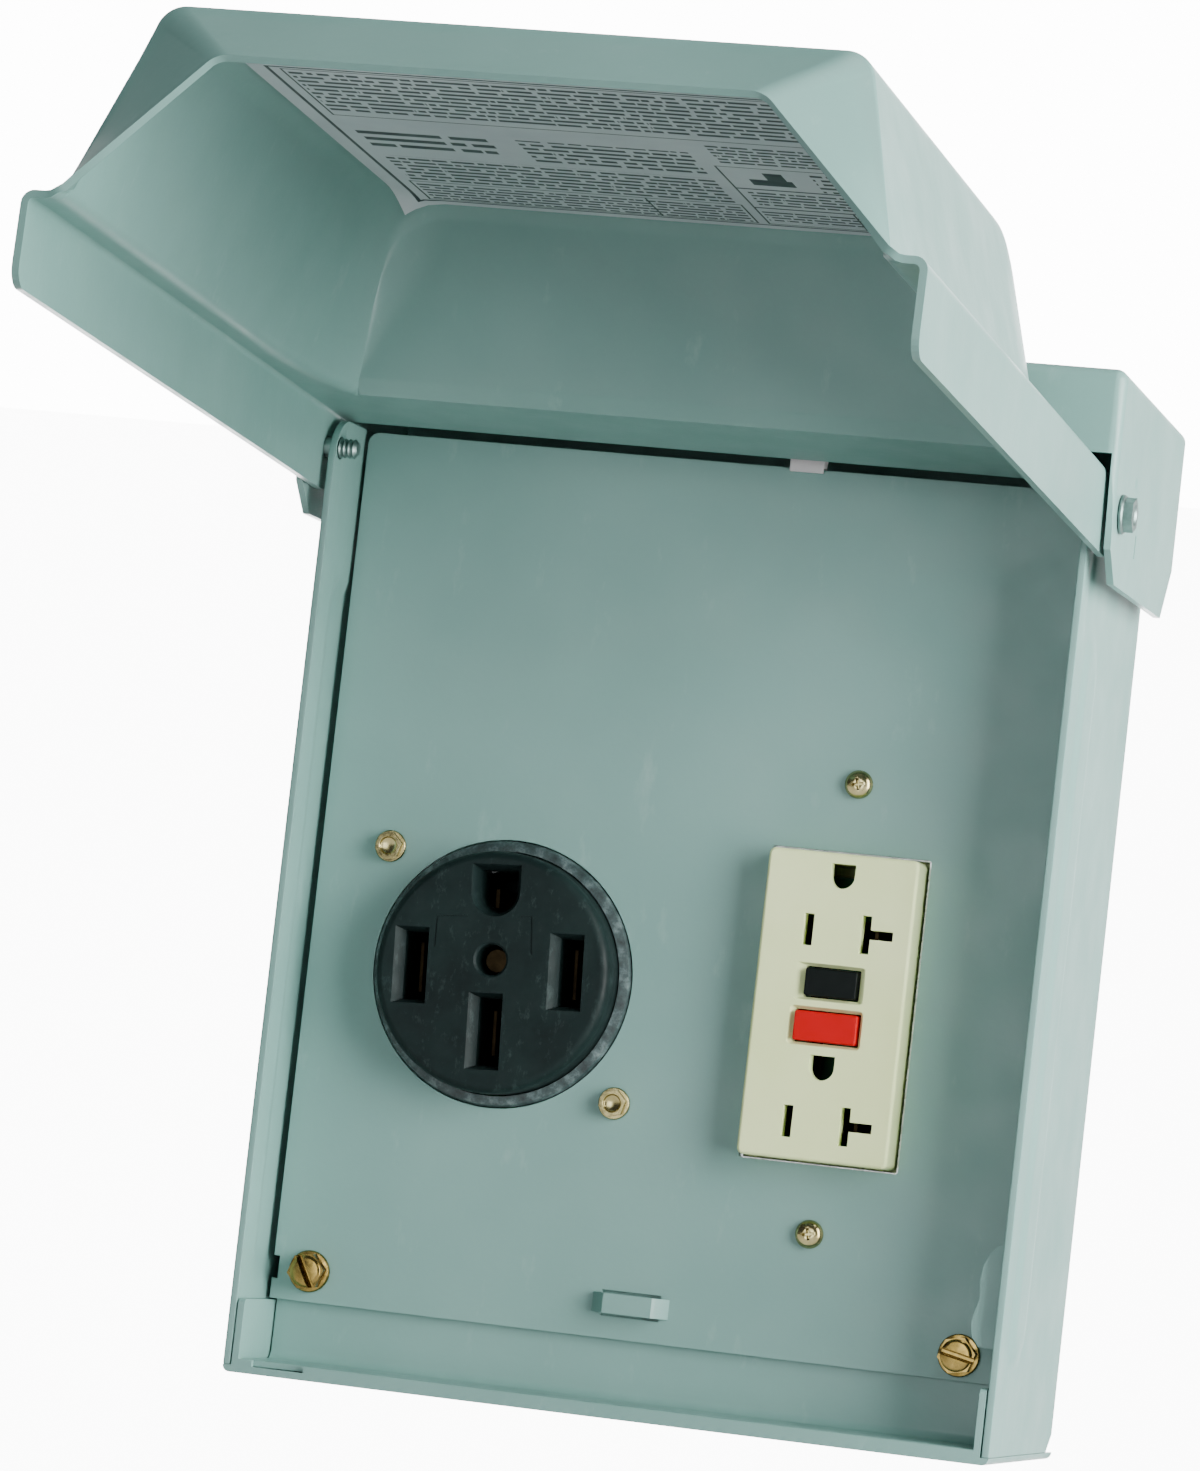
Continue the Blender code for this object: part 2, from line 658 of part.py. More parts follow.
# ---- dead front ------------------------------------------------------------------------------------
def build_dead_front():
    """Flat panel with the two outlet openings and a pressed finger pull."""
    def plate(bm):
        add_box(bm, PANEL_X, (PANEL_FRONT, PANEL_BACK), PANEL_Z)
        run, top_run, rise, half_h = 8.7, 5.6, 3.4, 2.15
        y = PANEL_FRONT + 0.4
        outline = [(PULL_X - run, y), (PULL_X - top_run, y - rise), (PULL_X + top_run, y - rise),
                   (PULL_X + run, y)]
        add_prism(bm, outline, "Z", PULL_Z - half_h, PULL_Z + half_h)

    def openings(bm):
        add_prism(bm, rounded_rect((GF_X, GF_Z), GF_OPENING, 0.8), "Y", -70, -40)
        add_cylinder(bm, "Y", (R50_X, R50_Z), R50_HOLE_R, -70, -40, 48)

    def holes(bm):
        for x, z in PANEL_SCREWS:
            add_cylinder(bm, "Y", (x, z), 2.5, -60, -40, 16)
        for x, z in R50_SCREWS:
            add_cylinder(bm, "Y", (R50_X + x, R50_Z + z), 2.3, -60, -40, 16)
        for side in (-1, 1):
            add_cylinder(bm, "Y", (GF_X, GF_Z + side * GF_SCREW_Z), 2.3, -60, -40, 16)

    def pull_back(bm):
        """The pull is a bridge, open above and below."""
        run, top_run, rise, half_h = 7.0, 4.2, 2.6, 2.8
        y = PANEL_FRONT + 0.2
        outline = [(PULL_X - run, PANEL_BACK + 2), (PULL_X - run, y),
                   (PULL_X - top_run, y - rise + 0.6), (PULL_X + top_run, y - rise + 0.6),
                   (PULL_X + run, y), (PULL_X + run, PANEL_BACK + 2)]
        add_prism(bm, outline, "Z", PULL_Z - half_h, PULL_Z + half_h)

    def edge_notch(bm):
        add_box(bm, (PANEL_X[0] - 5, PANEL_X[0] + 1.3), (-60, -40), (20.6, 25.5))

    panel = part("dead_front", "paint", plate)
    merge(panel)
    cut(panel, "outlet_openings", openings)
    cut(panel, "panel_holes", holes)
    cut(panel, "pull_back", pull_back)
    cut(panel, "edge_notch", edge_notch)


def build_panel_fasteners():
    """Slotted hex washer-head screws that hold the panel to the lower apron."""
    front = PANEL_FRONT - GAP

    def screw(spot):
        def build(bm):
            add_cylinder(bm, "Y", spot, 2.1, front - 1, front + 9, 16)
            add_cylinder(bm, "Y", spot, 4.6, front - 0.9, front, 24)
            add_hex(bm, "Y", spot, 7.0, front - 4.0, front - 0.4, 0.3)
        return build

    def slot(spot, turn):
        def build(bm):
            outline = [turned(p, spot, turn) for p in rectangle((0, 0), (12.0, 1.2))]
            add_prism(bm, outline, "Y", front - 6, front - 2.9)
        return build

    turns = (radians(-62), radians(-12))
    for name, spot, turn in zip(("left", "right"), PANEL_SCREWS, turns):
        obj = merge(part("panel_screw_" + name, "yellow_zinc", screw(spot)))
        cut(obj, "panel_screw_slot_" + name, slot(spot, turn))


def build_small_fittings():
    """Nylon bumper clipped on the panel's top edge and the bent catch on the right wall."""
    def clip(bm):
        add_box(bm, (13.9, 21.4), (PANEL_FRONT - 1.3, PANEL_BACK + 1.3), (203.2, 210.0))

    def groove(bm):
        add_box(bm, (10, 25), (PANEL_FRONT - GAP, PANEL_BACK + GAP), (200, PANEL_Z[1] + GAP))

    bumper = part("top_bumper", "nylon", clip)
    cut(bumper, "bumper_groove", groove)
    cut(bumper, "bumper_front_leg",
        lambda bm: add_box(bm, (10, 25), (PANEL_FRONT - 5, PANEL_FRONT - 0.1), (200, 206.3)))

    wall = WALL_IN - GAP

    def leaf(bm):
        outline = [(wall, 24.0), (80.0, 24.0), (78.4, 26.2), (77.1, 29.4), (76.6, 33.0),
                   (77.0, 37.0), (78.2, 41.6), (79.2, 45.8), (wall, 46.0)]
        add_prism(bm, outline, "Y", -68.5, -67.3)

    def leg(bm):
        add_box(bm, (wall - 1.2, wall), (-68.4, -56.0), (24.2, 45.8))

    catch = part("cover_catch", "paint", leaf)
    join(catch, "catch_leg", leg)


# ---- 50 A outlet -----------------------------------------------------------------------------------------
def r50_point(point):
    """A point on the 50 A outlet, from its centre, in the panel's plane."""
    return turned(point, (R50_X, R50_Z), R50_TURN)


def r50_outline(points):
    """An outline on the 50 A outlet."""
    return [r50_point(p) for p in points]


def rectangle(centre, size):
    """Corner points of a plain rectangle."""
    hx, hz = size[0] / 2, size[1] / 2
    return [(centre[0] + sx * hx, centre[1] + sz * hz)
            for sx, sz in ((-1, -1), (1, -1), (1, 1), (-1, 1))]


def ground_outline(centre, size):
    """A ground hole: flat top and round bottom."""
    half = size[0] / 2
    low = centre[1] - size[1] / 2 + half
    top = centre[1] + size[1] / 2
    bottom = arc((centre[0], low), half, 180, 360, 8)
    return bottom + [(centre[0] + half, top), (centre[0] - half, top)]


R50_STRAP_Y = (PANEL_BACK + GAP, PANEL_BACK + GAP + 1.5)
R50_HOUSING_Y = (R50_STRAP_Y[1] + GAP, -24.0)
R50_HOUSING_R = 25.0
R50_CAVITY_R = 22.4
R50_CONTACT_Y = (-49.5, -31.0)


def build_r50():
    """Four-blade 50 A outlet: face, strap, housing, contacts and screws."""
    centre = (R50_X, R50_Z)

    def face(bm):
        steps = 48
        profile = [(R50_RING_R, R50_FACE_BACK), (R50_RING_R, R50_RING_Y), (R50_FACE_R, R50_RING_Y),
                   (R50_FACE_R - 0.2, R50_FACE_Y + 1.1), (R50_FACE_R - 1.3, R50_FACE_Y)]
        rings = []
        for radius, y in profile:
            circle = [(centre[0] + radius * cos(2 * pi * k / steps),
                       centre[1] + radius * sin(2 * pi * k / steps)) for k in range(steps)]
            rings.append([bm.verts.new((x, y, z)) for x, z in circle])
        for low, high in zip(rings, rings[1:]):
            for k in range(steps):
                nxt = (k + 1) % steps
                bm.faces.new((low[k], low[nxt], high[nxt], high[k]))
        bm.faces.new(rings[0])
        bm.faces.new(rings[-1])
        bmesh.ops.recalc_face_normals(bm, faces=bm.faces)

    def slots(bm):
        for spot in R50_SLOTS.values():
            add_prism(bm, r50_outline(rectangle(spot, R50_SLOT)), "Y", -70, -40)
        outline = r50_outline(ground_outline(R50_GROUND, R50_GROUND_SIZE))
        add_prism(bm, outline, "Y", -70, -40)
        add_cylinder(bm, "Y", r50_point(R50_CENTRE), 3.4, -70, -40, 20)

    face_obj = part("r50_face", "black", face)
    cut(face_obj, "r50_slots", slots)

    strap_angle = -pi / 4 + radians(3.3)

    def strap(bm):
        length, width = 90.0, 15.0
        shape = rounded_rect((0, 0), (length, width), 5.0)
        outline = [turned(p, centre, strap_angle) for p in shape]
        add_prism(bm, outline, "Y", *R50_STRAP_Y)
        add_cylinder(bm, "Y", centre, R50_HOUSING_R, *R50_STRAP_Y, 36)

    def strap_holes(bm):
        add_cylinder(bm, "Y", centre, R50_CAVITY_R, -60, -40, 36)
        for x, z in R50_SCREWS:
            add_cylinder(bm, "Y", (R50_X + x, R50_Z + z), 2.0, -60, -40, 16)

    strap_obj = part("r50_strap", "steel", strap)
    merge(strap_obj)
    cut(strap_obj, "r50_strap_holes", strap_holes)

    def housing(bm):
        add_cylinder(bm, "Y", centre, R50_HOUSING_R, *R50_HOUSING_Y, 36)

    def cavity(bm):
        add_cylinder(bm, "Y", centre, R50_CAVITY_R, -60, R50_HOUSING_Y[1] - 3.0, 36)

    def rear_holes(bm):
        for spot in terminal_spots().values():
            add_cylinder(bm, "Y", spot, 2.6, -40, -10, 12)

    housing_obj = part("r50_housing", "black", housing)
    cut(housing_obj, "r50_cavity", cavity)
    cut(housing_obj, "r50_rear_holes", rear_holes)

    def clip(bm, spot, size):
        """A sprung contact: two leaves joined at the back."""
        wide, tall = size
        leaf = 0.9
        back = R50_CONTACT_Y[1]
        for side in (-1, 1):
            shape = rectangle((spot[0] + side * (wide + leaf) / 2, spot[1]), (leaf, tall))
            add_prism(bm, r50_outline(shape), "Y", *R50_CONTACT_Y)
        shape = rectangle(spot, (wide + 2 * leaf, tall))
        add_prism(bm, r50_outline(shape), "Y", back - 1.2, back)

    def line_contact(side):
        return lambda bm: clip(bm, R50_SLOTS[side], (2.4, 11.0))

    def neutral_contact(bm):
        clip(bm, R50_SLOTS["neutral"], (2.4, 10.0))

    def ground_contact(bm):
        clip(bm, (R50_GROUND[0], R50_GROUND[1] - 1.2), (4.6, 4.4))

    for side in ("left", "right"):
        merge(part("r50_line_contact_" + side, "brass", line_contact(side)))
    merge(part("r50_neutral_contact", "brass", neutral_contact))
    merge(part("r50_ground_contact", "brass", ground_contact))

    def centre_screw(bm):
        spot = r50_point(R50_CENTRE)
        add_cylinder(bm, "Y", spot, 2.6, -56.0, -54.0, 16)
        add_cylinder(bm, "Y", spot, 1.6, -54.5, -R50_HOUSING_R - 3.0, 12)

    merge(part("r50_centre_screw", "brass", centre_screw))

    def fixing_screw(spot):
        def build(bm):
            front = PANEL_FRONT - GAP
            add_cylinder(bm, "Y", spot, 1.7, front - 1, front + 7, 12)
            add_cylinder(bm, "Y", spot, 3.4, front - 0.6, front, 20)
            add_hex(bm, "Y", spot, 5.5, front - 2.4, front - 0.3, 0.2)
        return build

    for name, (x, z) in zip(("left", "right"), R50_SCREWS):
        spot = (R50_X + x, R50_Z + z)
        merge(part("r50_fixing_screw_" + name, "yellow_zinc", fixing_screw(spot)))

    def terminal_screw(spot):
        def build(bm):
            back = R50_HOUSING_Y[1]
            add_cylinder(bm, "Y", spot, 4.0, back + GAP, back + 3.0, 12)
            add_cylinder(bm, "Y", spot, 2.2, back - 4.0, back + 1.0, 12)
        return build

    for name, spot in terminal_spots().items():
        merge(part("r50_terminal_screw_" + name, "yellow_zinc", terminal_screw(spot)))


def terminal_spots():
    """Places of the four terminals on the back of the 50 A outlet."""
    places = dict(R50_SLOTS, ground=(R50_GROUND[0], R50_GROUND[1] - 2.0))
    return {name: r50_point(place) for name, place in places.items()}


# ---- 20 A ground-fault outlet ---------------------------------------------------------------------------------
def gf(x, z):
    """A point on the ground-fault outlet, from the middle of its face."""
    return (GF_X + x, GF_Z + z)


GF_BODY_Y = (GF_FACE_BACK + GAP, -22.0)
GF_BODY_SIZE = (42.0, 68.0)
GF_STRAP_Y = (PANEL_BACK + GAP, PANEL_BACK + GAP + 1.2)
GF_CONTACT_Y = (-54.6, -40.0)


def build_gfci():
    """Ground-fault outlet: face, body, strap, contacts, buttons and what trips it."""
    def face(bm):
        add_prism(bm, rounded_rect(gf(0, 0), GF_FACE, 1.2), "Y", GF_FACE_Y, GF_FACE_BACK)

    def hollow(bm):
        size = (GF_FACE[0] - 4.0, GF_FACE[1] - 4.0)
        add_prism(bm, rectangle(gf(0, 0), size), "Y", GF_FACE_Y + GF_FACE_WALL, -40)

    def face_holes(bm):
        for level in GF_OUTLETS:
            add_prism(bm, rectangle(gf(-6.1, level), (2.1, 6.8)), "Y", -70, -50)
            tee = [gf(x, level + z) for x, z in
                   ((5.4, -4.1), (7.5, -4.1), (7.5, -0.9), (12.4, -0.9), (12.4, 1.1),
                    (7.5, 1.1), (7.5, 4.1), (5.4, 4.1))]
            add_prism(bm, tee, "Y", -70, -50)
            hole = ground_outline(gf(0.1, level + GF_GROUND_UP), (5.4, 5.3))
            add_prism(bm, hole, "Y", -70, -50)
        for x, z, wide, tall in (GF_TEST, GF_RESET):
            size = (wide + 2 * BUTTON_GAP, tall + 2 * BUTTON_GAP)
            add_prism(bm, rectangle(gf(x, z), size), "Y", -70, -50)

    face_obj = part("gfci_face", "ivory", face)
    cut(face_obj, "gfci_hollow", hollow)
    cut(face_obj, "gfci_face_holes", face_holes)

    def button(name, finish, spec):
        """A rocker-fronted push button, its origin in the middle of its front."""
        x, z, wide, tall = spec

        def build(bm):
            half = wide / 2
            outline = [(-half, 0.6), (-half + 0.6, 0.0), (half - 0.6, 0.0), (half, 0.6),
                       (half, BUTTON_DEPTH), (-half, BUTTON_DEPTH)]
            add_prism(bm, outline, "Z", -tall / 2, tall / 2)

        obj = part(name, finish, build)
        front = GF_FACE_Y - BUTTON_PROUD
        obj.location = ((GF_X + x) * MM, front * MM, (GF_Z + z - ORIGIN_UP) * MM)

    button("gfci_test_button", "button_black", GF_TEST)
    button("gfci_reset_button", "red", GF_RESET)

    def strap(bm):
        shape = rounded_rect(gf(0, 0), (30.0, 106.0), 4.0)
        add_prism(bm, shape, "Y", *GF_STRAP_Y)
        add_box(bm, (GF_X - 20.6, GF_X + 20.6), GF_STRAP_Y, (GF_Z - 36.5, GF_Z + 36.5))

    def strap_holes(bm):
        size = (GF_FACE[0] + 2 * GAP, GF_FACE[1] + 2 * GAP)
        add_prism(bm, rectangle(gf(0, 0), size), "Y", -60, -40)
        for side in (-1, 1):
            add_cylinder(bm, "Y", gf(0, side * GF_SCREW_Z), 2.1, -60, -40, 16)

    strap_obj = part("gfci_strap", "steel", strap)
    merge(strap_obj)
    cut(strap_obj, "gfci_strap_holes", strap_holes)

    def body(bm):
        add_prism(bm, rounded_rect(gf(0, 0), GF_BODY_SIZE, 2.0), "Y", *GF_BODY_Y)

    def body_hollow(bm):
        size = (GF_BODY_SIZE[0] - 5.0, GF_BODY_SIZE[1] - 5.0)
        add_prism(bm, rectangle(gf(0, 0), size), "Y", -60, GF_BODY_Y[1] - 2.5)

    body_obj = part("gfci_body", "ivory", body)
    cut(body_obj, "gfci_body_hollow", body_hollow)

    def contacts(x):
        """Two sprung clips on one rail, for one blade of each outlet."""
        def build(bm):
            leaf = 0.8
            rail_y = GF_CONTACT_Y[1]
            for level in GF_OUTLETS:
                for side in (-1, 1):
                    spot = gf(x + side * 1.5, level)
                    add_prism(bm, rectangle(spot, (leaf, 6.0)), "Y", *GF_CONTACT_Y)
            middle = gf(x, sum(GF_OUTLETS) / 2)
            length = GF_OUTLETS[0] - GF_OUTLETS[1] + 6.0
            add_prism(bm, rectangle(middle, (3.8, length)), "Y", rail_y - 0.8, rail_y)
        return build

    merge(part("gfci_neutral_contacts", "brass", contacts(-6.1)))
    merge(part("gfci_line_contacts", "brass", contacts(6.5)))

    def board(bm):
        add_box(bm, (GF_X - 17, GF_X + 17), (-34.5, -33.0), (GF_Z - 29, GF_Z + 29))

    part("gfci_board", "board", board)

    def coil(bm):
        add_cylinder(bm, "Y", gf(-7, 8), 7.4, -32.7, -26.0, 24)

    def coil_hole(bm):
        add_cylinder(bm, "Y", gf(-7, 8), 3.2, -40, -20, 16)

    coil_obj = part("gfci_sensing_coil", "copper", coil)
    cut(coil_obj, "gfci_coil_hole", coil_hole)

    def solenoid(bm):
        add_cylinder(bm, "Z", (GF_X + 8, -29.4), 2.9, GF_Z - 20, GF_Z - 6, 16)
        add_cylinder(bm, "Z", (GF_X + 8, -29.4), 1.2, GF_Z - 8, GF_Z + 1, 10)

    merge(part("gfci_solenoid", "copper", solenoid))

    front = PANEL_FRONT - GAP

    def fixing_screw(spot):
        def build(bm):
            add_cylinder(bm, "Y", spot, 1.7, front - 1, front + 8, 12)
            add_cylinder(bm, "Y", spot, 2.2, front - 1.8, front, 20, 3.1)
        return build

    def cross(spot, turn):
        def build(bm):
            outline = [turned(p, spot, turn) for p in rectangle((0, 0), (3.4, 0.7))]
            add_prism(bm, outline, "Y", front - 3, front - 0.9)
        return build

    for name, side in (("upper", 1), ("lower", -1)):
        spot = gf(0, side * GF_SCREW_Z)
        screw = merge(part("gfci_fixing_screw_" + name, "yellow_zinc", fixing_screw(spot)))
        cut(screw, "gfci_cross_a_" + name, cross(spot, 0.2))
        cut(screw, "gfci_cross_b_" + name, cross(spot, 0.2 + pi / 2))

    def terminal_screw(side):
        def build(bm):
            x = GF_X + side * (GF_BODY_SIZE[0] / 2)
            low, high = sorted((x + side * GAP, x + side * 2.6))
            add_cylinder(bm, "X", (-38.0, GF_Z + 8.0), 3.2, low, high, 14)
        return build

    part("gfci_line_screw", "yellow_zinc", terminal_screw(1))
    part("gfci_neutral_screw", "steel", terminal_screw(-1))


# ---- supply side ---------------------------------------------------------------------------------------------------
LUG_X = (-32.0, 0.0, 32.0)
LUG_Z = (158.0, 176.0)
LUG_BASE_Y = (-12.0, INSIDE_BACK - GAP)
LUG_Y = (-28.0, LUG_BASE_Y[0] - GAP)
GROUND_X = (-68.0, -22.0)
GROUND_Z = (38.0, 47.0)


def build_supply():
    """Line and neutral lugs on their insulating base, and the ground bar."""
    def base(bm):
        add_box(bm, (-48, 48), LUG_BASE_Y, (LUG_Z[0] - 4, LUG_Z[1] + 4))

    part("lug_base", "insulator", base)

    def lug(bm, x):
        add_box(bm, (x - 8, x + 8), LUG_Y, LUG_Z)

    def bores(bm, x):
        add_cylinder(bm, "Z", (x, -17.5), 3.6, 100, 200, 18)
        add_cylinder(bm, "Y", (x, 172.0), 2.9, -40, -19, 14)

    def lug_screw(bm, x):
        add_cylinder(bm, "Y", (x, 172.0), 2.6, -31.0, -21.6, 14)

    for name, x in zip(("line_a", "neutral", "line_b"), LUG_X):
        lug_obj = part("lug_" + name, "aluminium", lambda bm: lug(bm, x))
        cut(lug_obj, "lug_bores_" + name, lambda bm: bores(bm, x))
        part("lug_screw_" + name, "steel", lambda bm: lug_screw(bm, x))

    def bar(bm):
        add_box(bm, GROUND_X, (-13.0, INSIDE_BACK - GAP), GROUND_Z)

    def bar_holes(bm):
        for x in ground_spots():
            add_cylinder(bm, "Y", (x, sum(GROUND_Z) / 2), 2.3, -20, -6, 12)
            add_cylinder(bm, "Z", (x, -8.0), 1.9, 30, 60, 12)

    bar_obj = part("ground_bar", "brass", bar)
    cut(bar_obj, "ground_bar_holes", bar_holes)

    def bar_screw(bm, x):
        add_cylinder(bm, "Y", (x, sum(GROUND_Z) / 2), 2.0, -16.0, -10.4, 12)

    for name, x in zip(("supply", "outlet"), ground_spots()):
        part("ground_bar_screw_" + name, "yellow_zinc", lambda bm: bar_screw(bm, x))


def ground_spots():
    """Places of the ground bar's screws along it."""
    return [GROUND_X[0] + 11.0 + k * 22.0 for k in range(2)]


def bezier_route(points, samples=9):
    """Points on a smooth curve through the given ones."""
    route = []
    ext = [points[0]] + list(points) + [points[-1]]
    for a, b, c, d in zip(ext, ext[1:], ext[2:], ext[3:]):
        for i in range(samples):
            t = i / samples
            route.append(tuple(0.5 * (2 * q + (r - p) * t + (2 * p - 5 * q + 4 * r - s) * t * t
                                      + (3 * q - p - 3 * r + s) * t ** 3)
                               for p, q, r, s in zip(a, b, c, d)))
    return route + [points[-1]]


def wire(name, finish, radius, points):
    """An insulated wire along a smooth route."""
    route = bezier_route(points, 5)
    curve = bpy.data.curves.new(name, "CURVE")
    curve.dimensions = "3D"
    curve.bevel_depth = radius * MM
    curve.bevel_resolution = 2
    curve.use_fill_caps = True
    spline = curve.splines.new("POLY")
    spline.points.add(len(route) - 1)
    for slot, (x, y, z) in zip(spline.points, route):
        slot.co = (x * MM, y * MM, z * MM, 1.0)
    obj = bpy.data.objects.new(name, curve)
    obj.location.z = -ORIGIN_UP * MM
    PARTS.objects.link(obj)
    curve.materials.append(principled(name + "_" + finish, *FINISHES[finish]))
    return obj


def build_wires():
    """Feeds from the lugs and ground bar to both outlets."""
    (lx, lz), (rx, rz), (nx, nz), (gx, gz) = terminal_spots().values()
    low = LUG_Z[0] - 0.6
    back = R50_HOUSING_Y[1] + 3.0 + GAP
    wire("wire_line_a", "wire_black", 2.0,
         [(LUG_X[0], -17.5, low), (-36, -17, 142), (-48, -16, 122), (-54, -14, 106),
          (lx, -14, lz + 2), (lx, back + 2.2, lz)])
    wire("wire_line_b", "wire_red", 2.0,
         [(LUG_X[2], -17.5, low), (24, -12, 146), (2, -8, 124), (rx + 2, -8, 104),
          (rx, -14, rz), (rx, back + 2.2, rz)])
    wire("wire_neutral", "wire_white", 2.0,
         [(LUG_X[1], -17.5, low), (-6, -16, 142), (-24, -14, 126), (nx, -8, 100),
          (nx, -12, nz), (nx, back + 2.2, nz)])
    spot = ground_spots()[1]
    wire("wire_ground", "wire_green", 1.5,
         [(spot, -8.0, GROUND_Z[1] + 0.6), (spot - 3, -7, 57), (-58, -5, 74), (-67, -5, 92),
          (-62, -5, 106), (-50, -6, 112), (gx - 4, -8, 110), (gx, -13, gz + 1),
          (gx, back + 1.8, gz)])
    screw_x = GF_X + GF_BODY_SIZE[0] / 2 + 2.6 + GAP
    wire("wire_gfci_line", "wire_black", 1.3,
         [(LUG_X[2] + 4.6, -10.0 - 4.2, low), (44, -14, 146), (62, -24, 124),
          (screw_x + 4, -36, 106), (screw_x + 1.6, -38, GF_Z + 8)])
    screw_in = GF_X - GF_BODY_SIZE[0] / 2 - 2.6 - GAP
    wire("wire_gfci_neutral", "wire_white", 1.3,
         [(LUG_X[1] + 4.6, -10.0 - 4.2, low), (8, -20, 146), (10, -30, 124),
          (screw_in - 2, -36, 110), (screw_in - 1.6, -38, GF_Z + 8)])


build_back_box()
build_bottom()
build_hood()
build_cover()
build_pivot_screws()
build_dead_front()
build_panel_fasteners()
build_small_fittings()
build_r50()
build_gfci()
build_supply()
build_wires()
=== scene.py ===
"""Looks for the outdoor power outlet box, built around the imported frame."""
from math import atan2, cos, exp, hypot, pi, radians, sin, sqrt, tan

import bmesh
import bpy
from mathutils import Matrix, Vector


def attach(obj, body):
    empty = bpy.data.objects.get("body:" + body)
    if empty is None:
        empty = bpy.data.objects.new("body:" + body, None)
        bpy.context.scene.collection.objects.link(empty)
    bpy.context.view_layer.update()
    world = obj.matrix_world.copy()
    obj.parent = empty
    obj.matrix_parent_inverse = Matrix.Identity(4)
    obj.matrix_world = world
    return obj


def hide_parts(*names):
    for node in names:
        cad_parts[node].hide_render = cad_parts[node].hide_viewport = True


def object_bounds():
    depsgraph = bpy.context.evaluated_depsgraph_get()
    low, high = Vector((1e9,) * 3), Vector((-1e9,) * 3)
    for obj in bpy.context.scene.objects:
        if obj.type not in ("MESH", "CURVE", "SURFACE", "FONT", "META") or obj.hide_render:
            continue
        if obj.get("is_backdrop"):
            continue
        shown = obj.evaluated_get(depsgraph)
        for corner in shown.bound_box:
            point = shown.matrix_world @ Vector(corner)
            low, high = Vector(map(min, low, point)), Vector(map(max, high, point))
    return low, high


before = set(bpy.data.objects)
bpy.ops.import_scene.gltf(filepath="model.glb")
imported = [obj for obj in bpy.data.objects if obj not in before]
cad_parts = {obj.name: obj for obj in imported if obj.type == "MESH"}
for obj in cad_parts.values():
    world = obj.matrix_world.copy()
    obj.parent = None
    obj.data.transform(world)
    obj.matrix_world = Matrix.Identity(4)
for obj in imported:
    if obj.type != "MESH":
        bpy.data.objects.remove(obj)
CAD_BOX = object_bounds()

MM = 0.001
UP = 111.0                    # the frame's origin above the box's lowest edge, in mm

# Sizes in millimetres.  x across, y towards the back, z up from the box's lowest edge.
SHEET = 1.6
HALF_WIDTH = 84.3
WALL_IN = HALF_WIDTH - SHEET
DEPTH = 71.8
WALL_TOP = 207.8
WALL_BOTTOM = 1.62
PANEL_FRONT = -52.0
PANEL_BACK = -50.5
PIVOT = (-68.2, 201.3)        # the cover's hinge axis, as y and z
TILT = radians(3.7)           # how far the open cover stands above level
GAP = 0.3                     # between neighbouring pieces
PIVOT_BORE = 2.45
RIVETS = ((-60.0, 198.0), (60.0, 198.0))
RIVET_BORE = 2.7
THROUGH = (-70, -40)          # y range that passes through the panel and both outlet faces


# ---- small geometry
def lift(axis, point, along):
    """Two coordinates and a distance along an axis as a point; "cover" is across the cover."""
    a, b = point
    if axis == "cover":
        return hinge_frame(along, a, b)
    return {"X": (along, a, b), "Y": (a, along, b), "Z": (a, b, along)}[axis]


def arc(centre, radius, start, end, steps=8):
    """Points on an arc, angles in degrees."""
    angles = [radians(start + (end - start) * i / steps) for i in range(steps + 1)]
    return [(centre[0] + radius * cos(a), centre[1] + radius * sin(a)) for a in angles]


def rounded(centre, size, radius, steps=5):
    """Outline of a rectangle with round corners."""
    hx, hz = size[0] / 2 - radius, size[1] / 2 - radius
    points = []
    for dx, dz, start in ((hx, hz, 0), (-hx, hz, 90), (-hx, -hz, 180), (hx, -hz, 270)):
        points += arc((centre[0] + dx, centre[1] + dz), radius, start, start + 90, steps)
    return points


def turned(points, centre, angle):
    """Points given from a centre, turned about it and moved to it."""
    c, s = cos(angle), sin(angle)
    return [(centre[0] + x * c - z * s, centre[1] + x * s + z * c) for x, z in points]


def box_outline(x, z):
    return [(x[0], z[0]), (x[1], z[0]), (x[1], z[1]), (x[0], z[1])]


def mirrored(side, near, far):
    """Two distances from the middle, on one side, in rising order."""
    return sorted((side * near, side * far))


def hexagon(centre, flats, start):
    """Outline of a hexagon, from its width across flats and the angle of a corner."""
    return arc(centre, flats / sqrt(3), start, start + 300, 5)


def strip(bm, a, b, closed=True):
    """Quads between two rows of as many points."""
    count = len(a)
    return [bm.faces.new((a[k], a[(k + 1) % count], b[(k + 1) % count], b[k]))
            for k in range(count if closed else count - 1)]


def prism(bm, outline, axis, low, high, top=None):
    """An outline extruded along an axis; top is the outline at its far end if that differs."""
    first = [bm.verts.new(lift(axis, p, low)) for p in outline]
    last = [bm.verts.new(lift(axis, p, high)) for p in (top or outline)]
    faces = [bm.faces.new(first), bm.faces.new(last)] + strip(bm, first, last)
    bmesh.ops.recalc_face_normals(bm, faces=faces)


def box(bm, x, y, z):
    prism(bm, box_outline(x, y), "Z", z[0], z[1])


